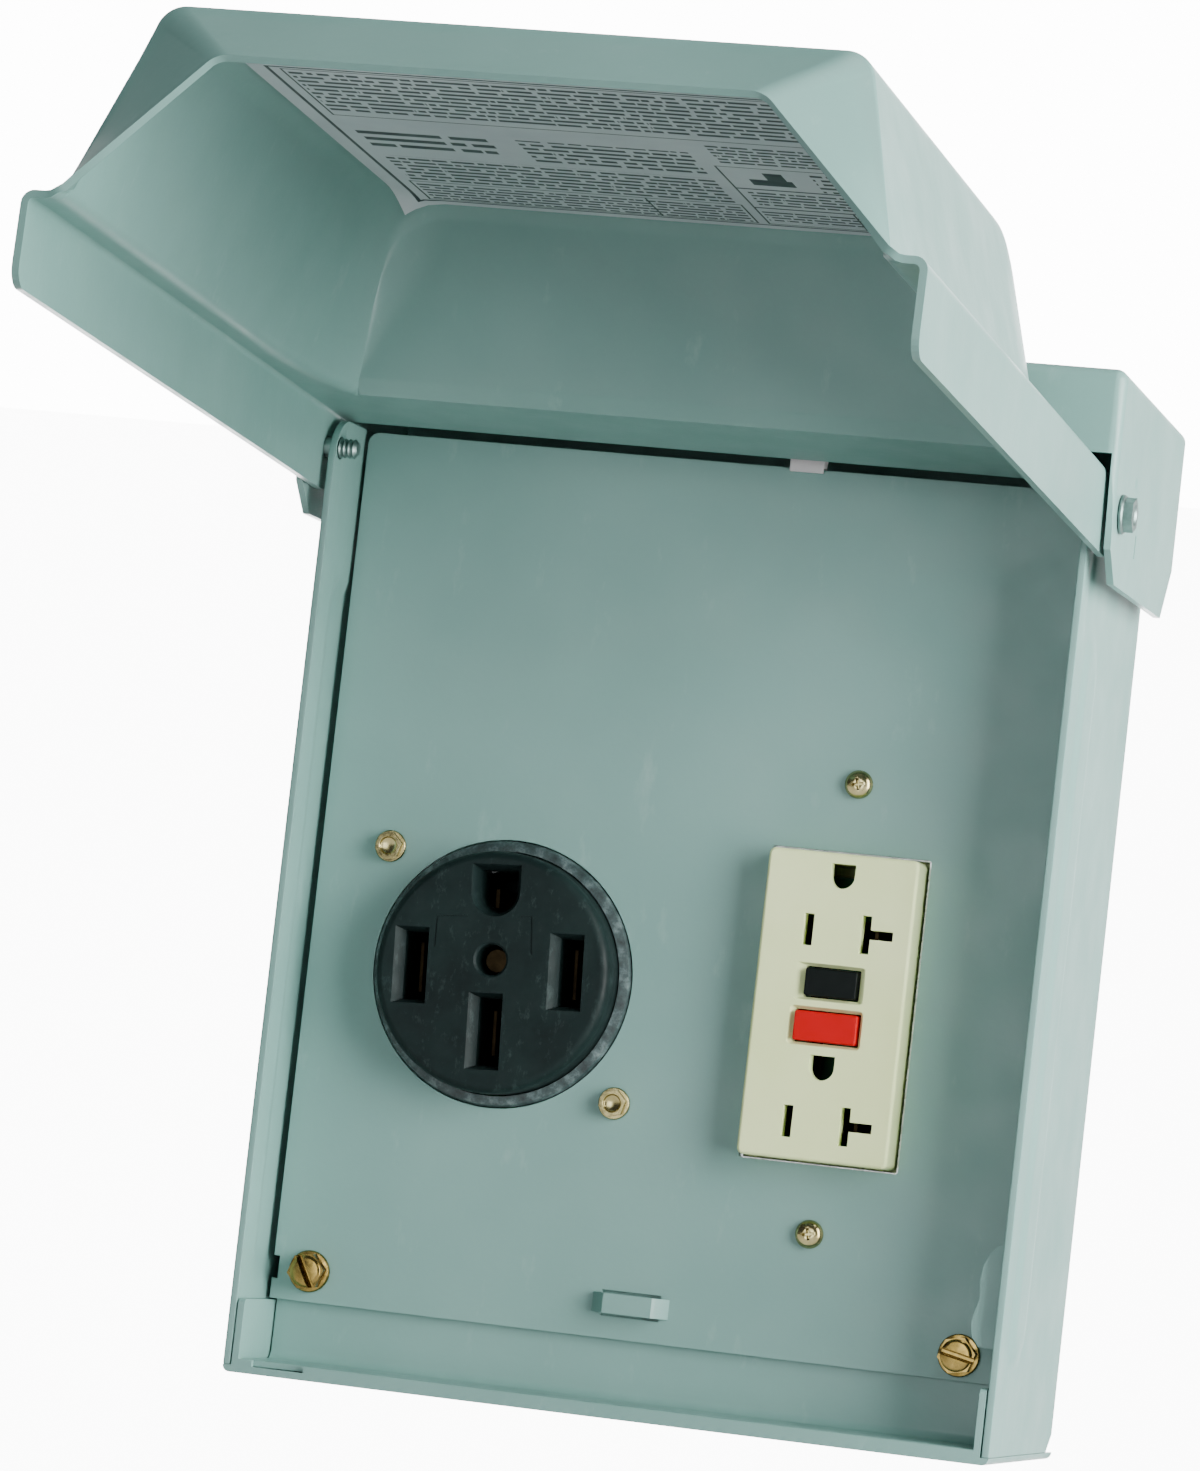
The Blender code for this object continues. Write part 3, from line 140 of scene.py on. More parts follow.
def lathe(bm, axis, centre, profile, steps=40, hollow=False):
    """A solid turned from (radius, along) points: closed at its ends, or a hollow ring."""
    rings = []
    for radius, along in profile:
        if radius < 1e-6:
            rings.append([bm.verts.new(lift(axis, centre, along))])
        else:
            ring = [(centre[0] + radius * cos(2 * pi * k / steps),
                     centre[1] + radius * sin(2 * pi * k / steps)) for k in range(steps)]
            rings.append([bm.verts.new(lift(axis, p, along)) for p in ring])
    faces = []
    for a, b in zip(rings, rings[1:] + (rings[:1] if hollow else [])):
        for k in range(steps):
            nxt = (k + 1) % steps
            quad = [a[k % len(a)], a[nxt % len(a)], b[nxt % len(b)], b[k % len(b)]]
            seen = list(dict.fromkeys(quad))
            if len(seen) > 2:
                faces.append(bm.faces.new(seen))
    for ring in (rings[0], rings[-1]):
        if len(ring) > 1 and not hollow:
            faces.append(bm.faces.new(ring))
    bmesh.ops.recalc_face_normals(bm, faces=faces)


def bore(bm, axis, centre, radius, low, high, steps=24):
    lathe(bm, axis, centre, [(radius, low), (radius, high)], steps)


def mesh_from(bm, name):
    mesh = bpy.data.meshes.new(name)
    bm.to_mesh(mesh)
    bm.free()
    return mesh


def add(name, data):
    obj = bpy.data.objects.new(name, data)
    bpy.context.scene.collection.objects.link(obj)
    return obj


def make(name, build):
    """An object in metres from a function that fills a bmesh in millimetres."""
    bm = bmesh.new()
    build(bm)
    bmesh.ops.translate(bm, verts=bm.verts, vec=(0, 0, -UP))
    bmesh.ops.scale(bm, vec=(MM, MM, MM), verts=bm.verts)
    return add(name, mesh_from(bm, name))


def apply_all(obj):
    """Bake an object's modifiers into its mesh."""
    bpy.context.view_layer.update()
    graph = bpy.context.evaluated_depsgraph_get()
    mesh = bpy.data.meshes.new_from_object(obj.evaluated_get(graph))
    old = obj.data
    obj.modifiers.clear()
    obj.data = mesh
    bpy.data.meshes.remove(old)


def combine(obj, build, operation="DIFFERENCE"):
    """Cut or join an object with what a function builds."""
    tool = make("tool", build)
    step = obj.modifiers.new("step", "BOOLEAN")
    step.operation = operation
    step.solver = "EXACT"
    step.object = tool
    apply_all(obj)
    bpy.data.objects.remove(tool, do_unlink=True)


def shade(obj, angle):
    """Smooth shading, with sharp edges above that angle in degrees."""
    obj.data.shade_smooth()
    obj.data.set_sharp_from_angle(angle=radians(angle))


def even_normals(obj, angle=32):
    """Smooth shading that keeps large flat faces flat."""
    shade(obj, angle)
    weigh = obj.modifiers.new("normals", "WEIGHTED_NORMAL")
    weigh.keep_sharp = True
    weigh.weight = 90
    apply_all(obj)


def bevel(obj, width, segments=2, angle=35):
    edges = obj.modifiers.new("edges", "BEVEL")
    edges.width = width * MM
    edges.segments = segments
    edges.limit_method = "ANGLE"
    edges.angle_limit = radians(angle)


def soften(obj, width, segments=2, angle=35):
    """Round an object's edges a little, and shade it smooth."""
    bm = bmesh.new()
    bm.from_mesh(obj.data)
    bmesh.ops.remove_doubles(bm, verts=bm.verts, dist=2e-6)
    bmesh.ops.dissolve_limit(bm, angle_limit=radians(0.6), verts=bm.verts, edges=bm.edges)
    bm.to_mesh(obj.data)
    bm.free()
    bevel(obj, width, segments, angle)
    apply_all(obj)
    even_normals(obj)
    return obj


def place(obj, body, material, nodes=()):
    """Name an object's body, material, and the CAD nodes it stands for."""
    obj.data.materials.clear()
    obj.data.materials.append(material)
    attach(obj, body)
    if nodes:
        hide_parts(*nodes)


# ---- materials
def linear(value):
    v = value / 255.0
    return v / 12.92 if v <= 0.04045 else ((v + 0.055) / 1.055) ** 2.4


def rgb(*values):
    return (*[linear(v) for v in values], 1.0)


class Shader:
    """A Principled material and the few nodes that the finishes here share."""

    def __init__(self, name, roughness=0.4, metallic=0.0, **sockets):
        self.material = bpy.data.materials.new(name)
        self.material.use_nodes = True
        self.tree = self.material.node_tree
        self.shader = self.tree.nodes["Principled BSDF"]
        self.shader.inputs["Roughness"].default_value = roughness
        self.shader.inputs["Metallic"].default_value = metallic
        for socket, value in sockets.items():
            self.shader.inputs[socket.replace("_", " ")].default_value = value
        self.coords = self.tree.nodes.new("ShaderNodeTexCoord").outputs["Object"]

    def link(self, out, inp):
        self.tree.links.new(out, inp)

    def noise(self, scale, detail=2.0, rough=0.5, stretch=None):
        """Noise whose features are about 1/scale metres across."""
        node = self.tree.nodes.new("ShaderNodeTexNoise")
        node.inputs["Scale"].default_value = scale
        node.inputs["Detail"].default_value = detail
        node.inputs["Roughness"].default_value = rough
        coords = self.coords
        if stretch:
            mapping = self.tree.nodes.new("ShaderNodeMapping")
            mapping.inputs["Scale"].default_value = stretch
            self.link(coords, mapping.inputs["Vector"])
            coords = mapping.outputs["Vector"]
        self.link(coords, node.inputs["Vector"])
        return node.outputs["Fac"]

    def ramp(self, value, stops):
        """Colour or grey by value: stops are (place, colour)."""
        node = self.tree.nodes.new("ShaderNodeValToRGB")
        while len(node.color_ramp.elements) < len(stops):
            node.color_ramp.elements.new(0.5)
        for element, (position, colour) in zip(node.color_ramp.elements, stops):
            element.position = position
            element.color = colour
        self.link(value, node.inputs["Fac"])
        return node.outputs["Color"]

    def levels(self, value, low, high, start=0.3, end=0.7):
        """A value between start and end mapped to low to high."""
        node = self.tree.nodes.new("ShaderNodeMapRange")
        for socket, number in (("From Min", start), ("From Max", end), ("To Min", low),
                               ("To Max", high)):
            node.inputs[socket].default_value = number
        self.link(value, node.inputs["Value"])
        return node.outputs["Result"]

    def mix(self, factor, a, b, blend="MIX"):
        """Two colours mixed; a factor or colour may be a number or a socket."""
        node = self.tree.nodes.new("ShaderNodeMix")
        node.data_type = "RGBA"
        node.blend_type = blend
        for socket, value in ((node.inputs[0], factor), (node.inputs[6], a), (node.inputs[7], b)):
            if isinstance(value, (int, float, tuple)):
                socket.default_value = value
            else:
                self.link(value, socket)
        return node.outputs[2]

    def math(self, operation, a, b):
        node = self.tree.nodes.new("ShaderNodeMath")
        node.operation = operation
        for socket, value in ((node.inputs[0], a), (node.inputs[1], b)):
            if isinstance(value, (int, float)):
                socket.default_value = value
            else:
                self.link(value, socket)
        return node.outputs[0]

    def axes(self):
        """The object's x, y and z as three sockets."""
        node = self.tree.nodes.new("ShaderNodeSeparateXYZ")
        self.link(self.coords, node.inputs[0])
        return node.outputs

    def colour(self, socket):
        self.link(socket, self.shader.inputs["Base Color"])

    def roughness(self, socket):
        self.link(socket, self.shader.inputs["Roughness"])

    def bump(self, height, distance, strength=1.0):
        """Relief of about that many metres; several calls stack."""
        node = self.tree.nodes.new("ShaderNodeBump")
        node.inputs["Strength"].default_value = strength
        node.inputs["Distance"].default_value = distance
        self.link(height, node.inputs["Height"])
        held = self.shader.inputs["Normal"].links
        if held:
            self.link(held[0].from_socket, node.inputs["Normal"])
        self.link(node.outputs["Normal"], self.shader.inputs["Normal"])


def paint(name, tone=1.0):
    """Semi-gloss grey-green powder coat: orange peel, faint clouding and rub marks."""
    s = Shader(name, 0.36)

    def toned(*values):
        return (*[c * tone for c in rgb(*values)[:3]], 1.0)

    dark, light = toned(112, 153, 146), toned(122, 162, 155)
    cloud = s.ramp(s.noise(22, 3), [(0.3, dark), (0.7, light)])
    rub = s.levels(s.noise(160, 5, 0.65, (1, 1, 0.35)), 0.0, 0.35, 0.62, 0.78)
    s.colour(s.mix(rub, cloud, toned(150, 184, 178)))
    s.roughness(s.levels(s.noise(70, 4), 0.32, 0.46))
    s.bump(s.noise(620, 2, 0.4), 0.00006, 0.5)
    s.bump(s.noise(60, 2), 0.0003, 0.25)
    return s.material


def plated(name, dark, light, roughness, flecks=340):
    """Plated screw metal with a patchy tint and fine tooling marks."""
    s = Shader(name, roughness, 1.0)
    s.colour(s.ramp(s.noise(flecks, 3), [(0.25, dark), (0.75, light)]))
    s.roughness(s.levels(s.noise(900, 3), roughness - 0.05, roughness + 0.08))
    s.bump(s.noise(1800, 2, 0.5, (1, 0.2, 1)), 0.000006, 0.2)
    return s.material


def moulded(name, dark, light, roughness, grain=1400, relief=0.00002, shine=0.25):
    """Moulded plastic with a fine texture and slight colour drift."""
    s = Shader(name, roughness, Specular_IOR_Level=shine)
    s.colour(s.ramp(s.noise(45, 3), [(0.3, dark), (0.7, light)]))
    s.roughness(s.levels(s.noise(300, 3), roughness - 0.06, roughness + 0.08))
    s.bump(s.noise(grain, 2), relief, 0.6)
    return s.material


def worn_black():
    """Black outlet moulding: scuffed, slightly dusty and pitted."""
    s = Shader("black_moulding", 0.5, Specular_IOR_Level=0.14)
    base = s.ramp(s.noise(60, 4, 0.6), [(0.3, rgb(10, 22, 22)), (0.7, rgb(22, 37, 36))])
    scuff = s.levels(s.noise(420, 6, 0.75, (1, 1, 0.5)), 0.0, 0.3, 0.56, 0.74)
    s.colour(s.mix(scuff, base, rgb(74, 92, 90)))
    s.roughness(s.levels(s.noise(260, 4), 0.42, 0.62))
    s.bump(s.noise(520, 4, 0.6), 0.00012, 0.6)
    return s.material


def ring_mottle_and_glints():
    """Ring round the 50 A face: dark and mottled, with light grey patches painted as glints where
    its moulded edges catch light, and darker pits.
    """
    s = Shader("outlet_ring_painted_glints", 0.45, 0.15)
    # Painted glints: the lightest stop stands for moulded edges catching light; the darker stops
    # are the ring's own mottle.
    patch = s.ramp(s.noise(260, 6, 0.7), [(0.32, rgb(22, 32, 33)), (0.50, rgb(52, 68, 68)),
                                          (0.68, rgb(104, 122, 122))])
    pit = s.levels(s.noise(1100, 4, 0.7), 0.0, 0.85, 0.60, 0.70)
    s.colour(s.mix(pit, patch, rgb(34, 40, 42)))
    s.roughness(s.levels(s.noise(420, 4), 0.28, 0.6))
    s.bump(s.noise(900, 5, 0.7), 0.00015, 0.6)
    return s.material


M = {
    "paint": paint("powder_coat"),
    "paint_cover": paint("powder_coat_cover", 0.96),
    "yellow_zinc": plated("yellow_zinc", rgb(116, 96, 46), rgb(160, 138, 80), 0.22, 300),
    "pale_zinc": plated("pale_yellow_zinc", rgb(150, 138, 90), rgb(190, 180, 134), 0.2, 300),
    "dull_zinc": plated("painted_over_zinc", rgb(104, 126, 122), rgb(146, 168, 164), 0.42),
    "zinc": plated("bright_zinc", rgb(150, 154, 156), rgb(212, 214, 214), 0.26),
    "brass": plated("brass", rgb(92, 66, 30), rgb(138, 104, 54), 0.42),
    "black": worn_black(),
    "black_button": moulded("black_button", rgb(6, 12, 11), rgb(11, 18, 17), 0.45, shine=0.1),
    "ivory": moulded("ivory_moulding", rgb(232, 247, 178), rgb(241, 253, 192), 0.36, shine=0.2),
    "red": moulded("red_button", rgb(188, 0, 8), rgb(204, 0, 12), 0.45, shine=0.12),
    "nylon": moulded("nylon", rgb(222, 216, 218), rgb(240, 236, 238), 0.45),
    "insulator": moulded("insulator", rgb(132, 38, 30), rgb(158, 52, 40), 0.5),
    "board": moulded("board", rgb(22, 84, 52), rgb(36, 106, 68), 0.45),
    # Painted shade: the brass contacts and the 50 A centre screw are coloured near black for the
    # shade inside their slots and well.
    "contact": plated("contact", rgb(30, 24, 15), rgb(50, 41, 26), 0.45),
    "copper": plated("copper", rgb(150, 78, 44), rgb(206, 128, 84), 0.34),
    "aluminium": plated("aluminium", rgb(166, 168, 170), rgb(206, 208, 210), 0.36),
    "wire_black": moulded("wire_black", rgb(20, 20, 22), rgb(32, 32, 35), 0.42),
    "wire_red": moulded("wire_red", rgb(160, 24, 22), rgb(186, 36, 34), 0.42),
    "wire_white": moulded("wire_white", rgb(212, 212, 206), rgb(232, 232, 228), 0.42),
    "wire_green": moulded("wire_green", rgb(26, 104, 52), rgb(40, 130, 70), 0.42),
    "ring": ring_mottle_and_glints(),
}


# ---- CAD nodes that stay: softer edges and a finished surface
def keep(node, material, width):
    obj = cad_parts[node]
    obj.data.materials.clear()
    obj.data.materials.append(M[material])
    weld = obj.modifiers.new("weld", "WELD")
    weld.merge_threshold = 2e-6
    if width:
        bevel(obj, width)


# ---- sheet-metal box
def ease(t):
    t = max(0.0, min(1.0, t))
    return t * t * (3 - 2 * t)


def bead_relief(side, y, z):
    """How far a side wall is pressed outwards: a long bead, and dents near the hinge."""
    centre_y, half, low, high = -55.5, 6.4, 22.0, 174.0
    along = max(low + half - z, 0.0, z - (high - half))
    away = hypot(y - centre_y, along)
    relief = 0.85 * ease((half - away) / 2.6 + 0.5)
    if side < 0:
        relief -= 0.8 * exp(-((y + 60.0) / 6.0) ** 2 - ((z - 190.0) / 9.0) ** 2)
    else:
        relief -= 0.6 * exp(-((y + 63.0) / 2.6) ** 2 - ((z - 181.0) / 4.0) ** 2)
    for mark in (92.0, 101.0):
        relief -= 0.3 * exp(-((y + 66.5) / 0.9) ** 2 - ((z - mark) / 2.2) ** 2)
    return relief


def build_back_box():
    def sheet(bm):
        w, r, t = HALF_WIDTH, 2.4, SHEET
        rear = arc((w - r, -r), r, 90, 0, 6)
        outer = [(-w, -DEPTH)] + [(-x, y) for x, y in reversed(rear)] + rear + [(w, -DEPTH)]
        inner_r = r - t
        rear_in = arc((w - r, -r), inner_r, 0, 90, 4)
        inner = [(w - t, -DEPTH)] + rear_in + [(-x, y) for x, y in reversed(rear_in)]
        inner.append((-w + t, -DEPTH))
        prism(bm, outer + inner, "Z", WALL_BOTTOM, WALL_TOP)

    obj = make("box_back_and_sides", sheet)

    def trims(bm):
        rounding = arc((-DEPTH + 9, WALL_TOP - 9), 9.0, 90, 180, 14)
        outline = rounding + [(-DEPTH - 6, WALL_TOP - 9), (-DEPTH - 6, WALL_TOP + 6),
                              (-DEPTH + 9, WALL_TOP + 6)]
        prism(bm, outline, "X", -HALF_WIDTH - 6, HALF_WIDTH + 6)

    combine(obj, trims)

    def holes(bm):
        chamfer = [(-9.0, 0.0), (2.0, 0.0), (2.0, 8.4)]
        for side in (-1, 1):
            prism(bm, chamfer, "X", *mirrored(side, WALL_IN - 2.5, HALF_WIDTH + 3))
        bore(bm, "X", PIVOT, PIVOT_BORE, -100, 100, 32)
        for x in (-58.0, 58.0):
            for z in (36.0, 186.0):
                bore(bm, "Y", (x, z), 3.3, -10, 10, 32)
        for spot in RIVETS:
            bore(bm, "Y", spot, RIVET_BORE, -10, 10)

    combine(obj, holes)
    bm = bmesh.new()
    bm.from_mesh(obj.data)
    for axis, marks in (((0, 0, 1), [20 + 2.6 * k for k in range(62)]),
                        ((0, 1, 0), [-69.5 + 1.3 * k for k in range(19)])):
        for mark in marks:
            spot = Vector(axis) * mark - (Vector((0, 0, UP)) if axis[2] else Vector())
            geom = bm.verts[:] + bm.edges[:] + bm.faces[:]
            bmesh.ops.bisect_plane(bm, geom=geom, plane_co=spot * MM, plane_no=axis, dist=1e-7)
    for v in bm.verts:
        x, y, z = v.co / MM
        if abs(x) > WALL_IN - 0.1 and y < -20:
            side = 1 if x > 0 else -1
            v.co.x += bead_relief(side, y, z + UP) * side * MM
    bm.to_mesh(obj.data)
    bm.free()
    shade(obj, 32)
    bevel(obj, 0.3, 2, 50)
    apply_all(obj)
    even_normals(obj, 40)
    place(obj, "box", M["paint"], ["back_box"])


def build_tray():
    def block(bm):
        w, r = HALF_WIDTH, 1.5
        outline = ([(-w, 15.9)] + arc((-w + r, r), r, 180, 270, 5)
                   + arc((w - r, r), r, 270, 360, 5) + [(w, 15.9)])
        prism(bm, outline, "Y", -DEPTH, 0)

    tray = make("bottom_tray_sheet", block)
    outer, inner, lip = WALL_IN - GAP, WALL_IN - 1.8, -DEPTH + 1.5

    def hollow(bm):
        box(bm, (-inner, inner), (lip, -3.4), (SHEET, 30))
        for side in (-1, 1):
            box(bm, mirrored(side, outer, HALF_WIDTH + 5), (-DEPTH - 5, 5), (SHEET, 30))

    def mouth(bm):
        box(bm, (-90, 90), (-1.9, 5), (SHEET, 30))
        box(bm, (-inner, inner), (-DEPTH - 5, lip + 0.5), (3.0, 30))

    def notches(bm):
        box(bm, (-77.8, -66.2), (-DEPTH - 5, lip + 0.5), (SHEET + 0.02, 30))
        bore(bm, "Z", (0, -36), 17.5, -5, 5, 56)

    for step in (hollow, mouth, notches):
        combine(tray, step)

    def corner_tabs(bm):
        for side in (-1, 1):
            low, high = mirrored(side, inner - 1, outer + 1)
            round_off = arc((-DEPTH + 1.2, 14.7), 1.2, 90, 180, 5)
            prism(bm, round_off + [(-DEPTH - 1, 14.7), (-DEPTH - 1, 17), (-DEPTH + 1.2, 17)],
                  "X", low, high)

    combine(tray, corner_tabs)
    soften(tray, 0.3)
    place(tray, "box", M["paint"], ["bottom_tray"])

    def apron(bm):
        t, low, bend = 1.5, WALL_BOTTOM, 2.2
        back = PANEL_BACK + GAP
        curve = arc((back - bend, low + bend + t), bend + t, 270, 360, 8)
        inside = arc((back - bend, low + t + bend), bend, 360, 270, 8)
        front = lip + GAP
        outline = ([(front, low)] + curve + [(back + t, 30.0), (back, 30.0)] + inside
                   + [(front, low + t)])
        prism(bm, outline, "X", -inner + GAP, inner - GAP)

    lower = soften(make("lower_apron_sheet", apron), 0.25)
    place(lower, "box", M["paint"], ["lower_apron"])


def build_hood():
    t, half = 1.5, 89.9
    front, top_front, top_back = -77.5, 231.1, 228.0

    def roof(y):
        return top_front + (top_back - top_front) * (y - front) / -front

    def solid(inset, radius, back, low):
        """The hood's outer or inner form, its front and top edges rounded."""
        def build(bm):
            f, h, steps = front + inset, half - inset, 6
            levels = [low] + [-1.0 - radius + radius * sin(a)
                              for a in (pi / 2 * k / steps for k in range(steps + 1))]
            rings = []
            for number, level in enumerate(levels):
                pull = 0.0
                if number:
                    pull = radius - radius * cos(pi / 2 * (number - 1) / steps)
                corner = max(radius - pull, 0.01)
                rear = [(h - pull, back), (-h + pull, back)]
                left = arc((-h + pull + corner, f + pull + corner), corner, 180, 270, steps)
                right = arc((h - pull - corner, f + pull + corner), corner, 270, 360, steps)
                rings.append([bm.verts.new((x, y, roof(y) - inset + level + 1.0 if number else low))
                              for x, y in rear + left + right])
            faces = [bm.faces.new(rings[0]), bm.faces.new(rings[-1])]
            for a, b in zip(rings, rings[1:]):
                faces += strip(bm, a, b)
            bmesh.ops.recalc_face_normals(bm, faces=faces)
        return build

    hood = make("hood_sheet", solid(0.0, 2.6, 0.0, 180.0))
    combine(hood, solid(t, 1.1, -t, 170.0))

    def trims(bm):
        inner = half - t
        box(bm, (-inner, inner), (front - 5, front + t + 1.4), (170, 213.0))
        box(bm, (-inner, inner), (-t - 0.5, 5), (170, WALL_TOP + GAP))

    combine(hood, trims)

    def ear_ends(bm):
        low = [(-100, 160), (10, 160), (10, 210.6), (0.0, 197.0), (-8.6, 185.6), (-67.4, 186.4),
               (-75.2, 193.0), (front, 213.0), (-100, 213.0)]
        for side in (-1, 1):
            prism(bm, low, "X", *mirrored(side, half - t - 2.0, half + 5))
        bore(bm, "X", PIVOT, PIVOT_BORE, -100, 100, 32)

    combine(hood, ear_ends)

    def flange(bm):
        back, step = -1.9, WALL_TOP + GAP
        outline = [(back, 189.0), (back, step), (-0.5, step), (-0.5, step + t),
                   (back - t, step + t), (back - t, 189.0)]
        prism(bm, outline, "X", -76, 76)

    combine(hood, flange, "UNION")
    combine(hood, lambda bm: [bore(bm, "Y", spot, RIVET_BORE, -10, 10) for spot in RIVETS])

    def ear_marks(bm):
        for side in (-1, 1):
            face = side * half
            dimple = [(0, face - side * 0.35), (0.9, face - side * 0.25), (1.8, face + side * 0.05),
                      (1.8, face + side * 2), (0, face + side * 2)]
            lathe(bm, "X", (-53.8, 209.6), dimple, 24)
            box(bm, mirrored(side, half - 0.3, half + 2), (-48.1, -47.4), (194.2, 199.2))

    combine(hood, ear_marks)
    soften(hood, 0.3, 2, 50)
    place(hood, "box", M["paint"], ["hood"])


# ---- cover
COVER_HALF, PAN_W, FLANGE_LOW = 87.4, 9.2, -9.3
COVER_REAR, COVER_END = -9.8, 200.95
DOME_START, DOME_HALF, DOME_REAR, DOME_H = 24.0, 80.0, 74.0, 40.3
EDGE_R, REAR_EDGE_R = 6.0, 16.0
DRAFT = radians(15.4)
MOUTH_HALF, MOUTH_H, MOUTH_CREASE = 81.2, 28.4, 188.0


def hinge_frame(x, u, w):
    """A point of the cover, from its hinge, placed in the box's frame at rest."""
    c, s = cos(TILT), sin(TILT)
    return (x, PIVOT[0] - u * c + w * s, PIVOT[1] + u * s + w * c)


def dome_height(u):
    run, height, round_run = 8.6, 36.0, 5.5
    if u <= DOME_START:
        return 0.0
    if u <= DOME_START + run:
        return height * (u - DOME_START) / run
    turn = min(1.0, (u - DOME_START - run) / round_run)
    return height + (DOME_H - height) * sin(turn * pi / 2)


def dome_half(u):
    run = max(0.0, min(1.0, (u - DOME_START) / 40.0))
    return DOME_HALF - (DOME_HALF - DOME_REAR) * (1 - run) ** 2


def dome_edge(u):
    """Radius of the dome's upper side edges, growing towards the rear wall."""
    return EDGE_R + (REAR_EDGE_R - EDGE_R) * ease((60.0 - u) / 26.0)


def section(half, height, lean, edge_r, base=1.6):
    """Half of a dome section, from its foot to the middle: across and height above the pan."""
    edge_r = min(edge_r, 0.6 * height)
    middle_z = height - edge_r
    middle_x = half - edge_r / cos(lean) - middle_z * tan(lean)
    foot = base * min(1.0, height / 6.0)
    points = [(half + foot, 0.0), (half + 0.35 * foot, 0.12 * foot),
              (half - 0.1 * foot, 0.42 * foot), (half - foot * tan(lean), foot)]
    start = points[-1]
    corner = [(middle_x + edge_r * cos(a), middle_z + edge_r * sin(a))
              for a in (lean + (pi / 2 - lean) * k / 10 for k in range(11))]
    for k in range(1, 5):
        points.append((start[0] + (corner[0][0] - start[0]) * k / 5,
                       start[1] + (corner[0][1] - start[1]) * k / 5))
    points += corner
    return points + [(middle_x * k / 5, height) for k in (4, 3, 2, 1, 0)]


def cover_rows():
    """Rows of (across, u, w) over the cover's outer surface."""
    bend = 2.6
    flange = [(COVER_HALF, FLANGE_LOW + (PAN_W - bend - FLANGE_LOW) * k / 6) for k in range(7)]
    flange += [(COVER_HALF - bend + bend * cos(a), PAN_W - bend + bend * sin(a))
               for a in (pi / 12 * k for k in range(1, 6))]
    flange.append((COVER_HALF - bend, PAN_W))
    flat = section(DOME_REAR, 6.0, DRAFT, EDGE_R)
    mouth = section(MOUTH_HALF, MOUTH_H, radians(45.0), 6.0)
    full = section(DOME_HALF, DOME_H, DRAFT, EDGE_R)

    def crease_u(k):
        drop = max(0.0, 1 - full[k][1] / (DOME_H - EDGE_R))
        return MOUTH_CREASE + (COVER_END - 1.5 - MOUTH_CREASE) * drop

    rows = []
    for u in (COVER_REAR, -6.0, -2.0, 4.0, 10.0, 16.0, 20.0, DOME_START - 0.9):
        rows.append([(x, u, w) for x, w in flange] + [(x, u, PAN_W) for x, _ in flat])
    count = 64
    for k in range(count + 1):
        u = DOME_START + 0.5 + (165.0 - DOME_START - 0.5) * (k / count) ** 1.7
        shape = section(dome_half(u), dome_height(u), DRAFT, dome_edge(u))
        rows.append([(x, u, w) for x, w in flange] + [(x, u, PAN_W + z) for x, z in shape])
    for blend in [0.0, 0.012, 0.035, 0.07] + [0.12 + 0.88 * k / 8 for k in range(9)]:
        row = [(x, COVER_END - 1.5 * (1 - blend), w) for x, w in flange]
        bent = blend if blend > 0.1 else blend * blend / 0.14
        for k, (a, b) in enumerate(zip(full, mouth)):
            u = crease_u(k) + (COVER_END - crease_u(k)) * blend
            row.append((a[0] + (b[0] - a[0]) * bent, u, PAN_W + a[1] + (b[1] - a[1]) * bent))
        rows.append(row)
    return rows


def build_cover():
    def surface(bm):
        grid = []
        for row in cover_rows():
            across = row + [(-x, u, w) for x, u, w in reversed(row[:-1])]
            grid.append([bm.verts.new(hinge_frame(*p)) for p in across])
        for low, high in zip(grid, grid[1:]):
            strip(bm, low, high, False)
        bmesh.ops.recalc_face_normals(bm, faces=bm.faces)
        if max(bm.faces, key=lambda f: f.calc_center_median().z).normal.z < 0:
            bmesh.ops.reverse_faces(bm, faces=bm.faces)

    cover = make("cover_shell", surface)
    shell = cover.modifiers.new("sheet", "SOLIDIFY")
    shell.thickness = 1.5 * MM
    shell.offset = -1
    shell.use_even_offset = True
    apply_all(cover)

    def corners(bm):
        hinge_end = ([(-20.0, -13.0), (0.0, -13.0)] + arc((0, 0), 9.3, 270, 90, 24)
                     + [(0.0, 14.0), (-20.0, 14.0)])
        free = [(COVER_END - 4.2, FLANGE_LOW - 3), (COVER_END + 3, FLANGE_LOW - 3),
                (COVER_END + 3, FLANGE_LOW + 4.2), (COVER_END, FLANGE_LOW + 4.2)]
        free += arc((COVER_END - 4.2, FLANGE_LOW + 4.2), 4.2, 0, -90, 6)[1:]
        for side in (-1, 1):
            for shape in (hinge_end, free):
                prism(bm, shape, "cover", *mirrored(side, COVER_HALF - 2.1, COVER_HALF + 3))

    combine(cover, corners)
    combine(cover, lambda bm: bore(bm, "X", PIVOT, 2.5, -100, 100, 32))
    shade(cover, 40)
    bevel(cover, 0.3, 2, 60)
    apply_all(cover)
    even_normals(cover, 50)
    place(cover, "cover", M["paint_cover"], ["cover"])


LABEL_HALF, LABEL_REAR, LABEL_FRONT = 63.2, 38.6, 157.0


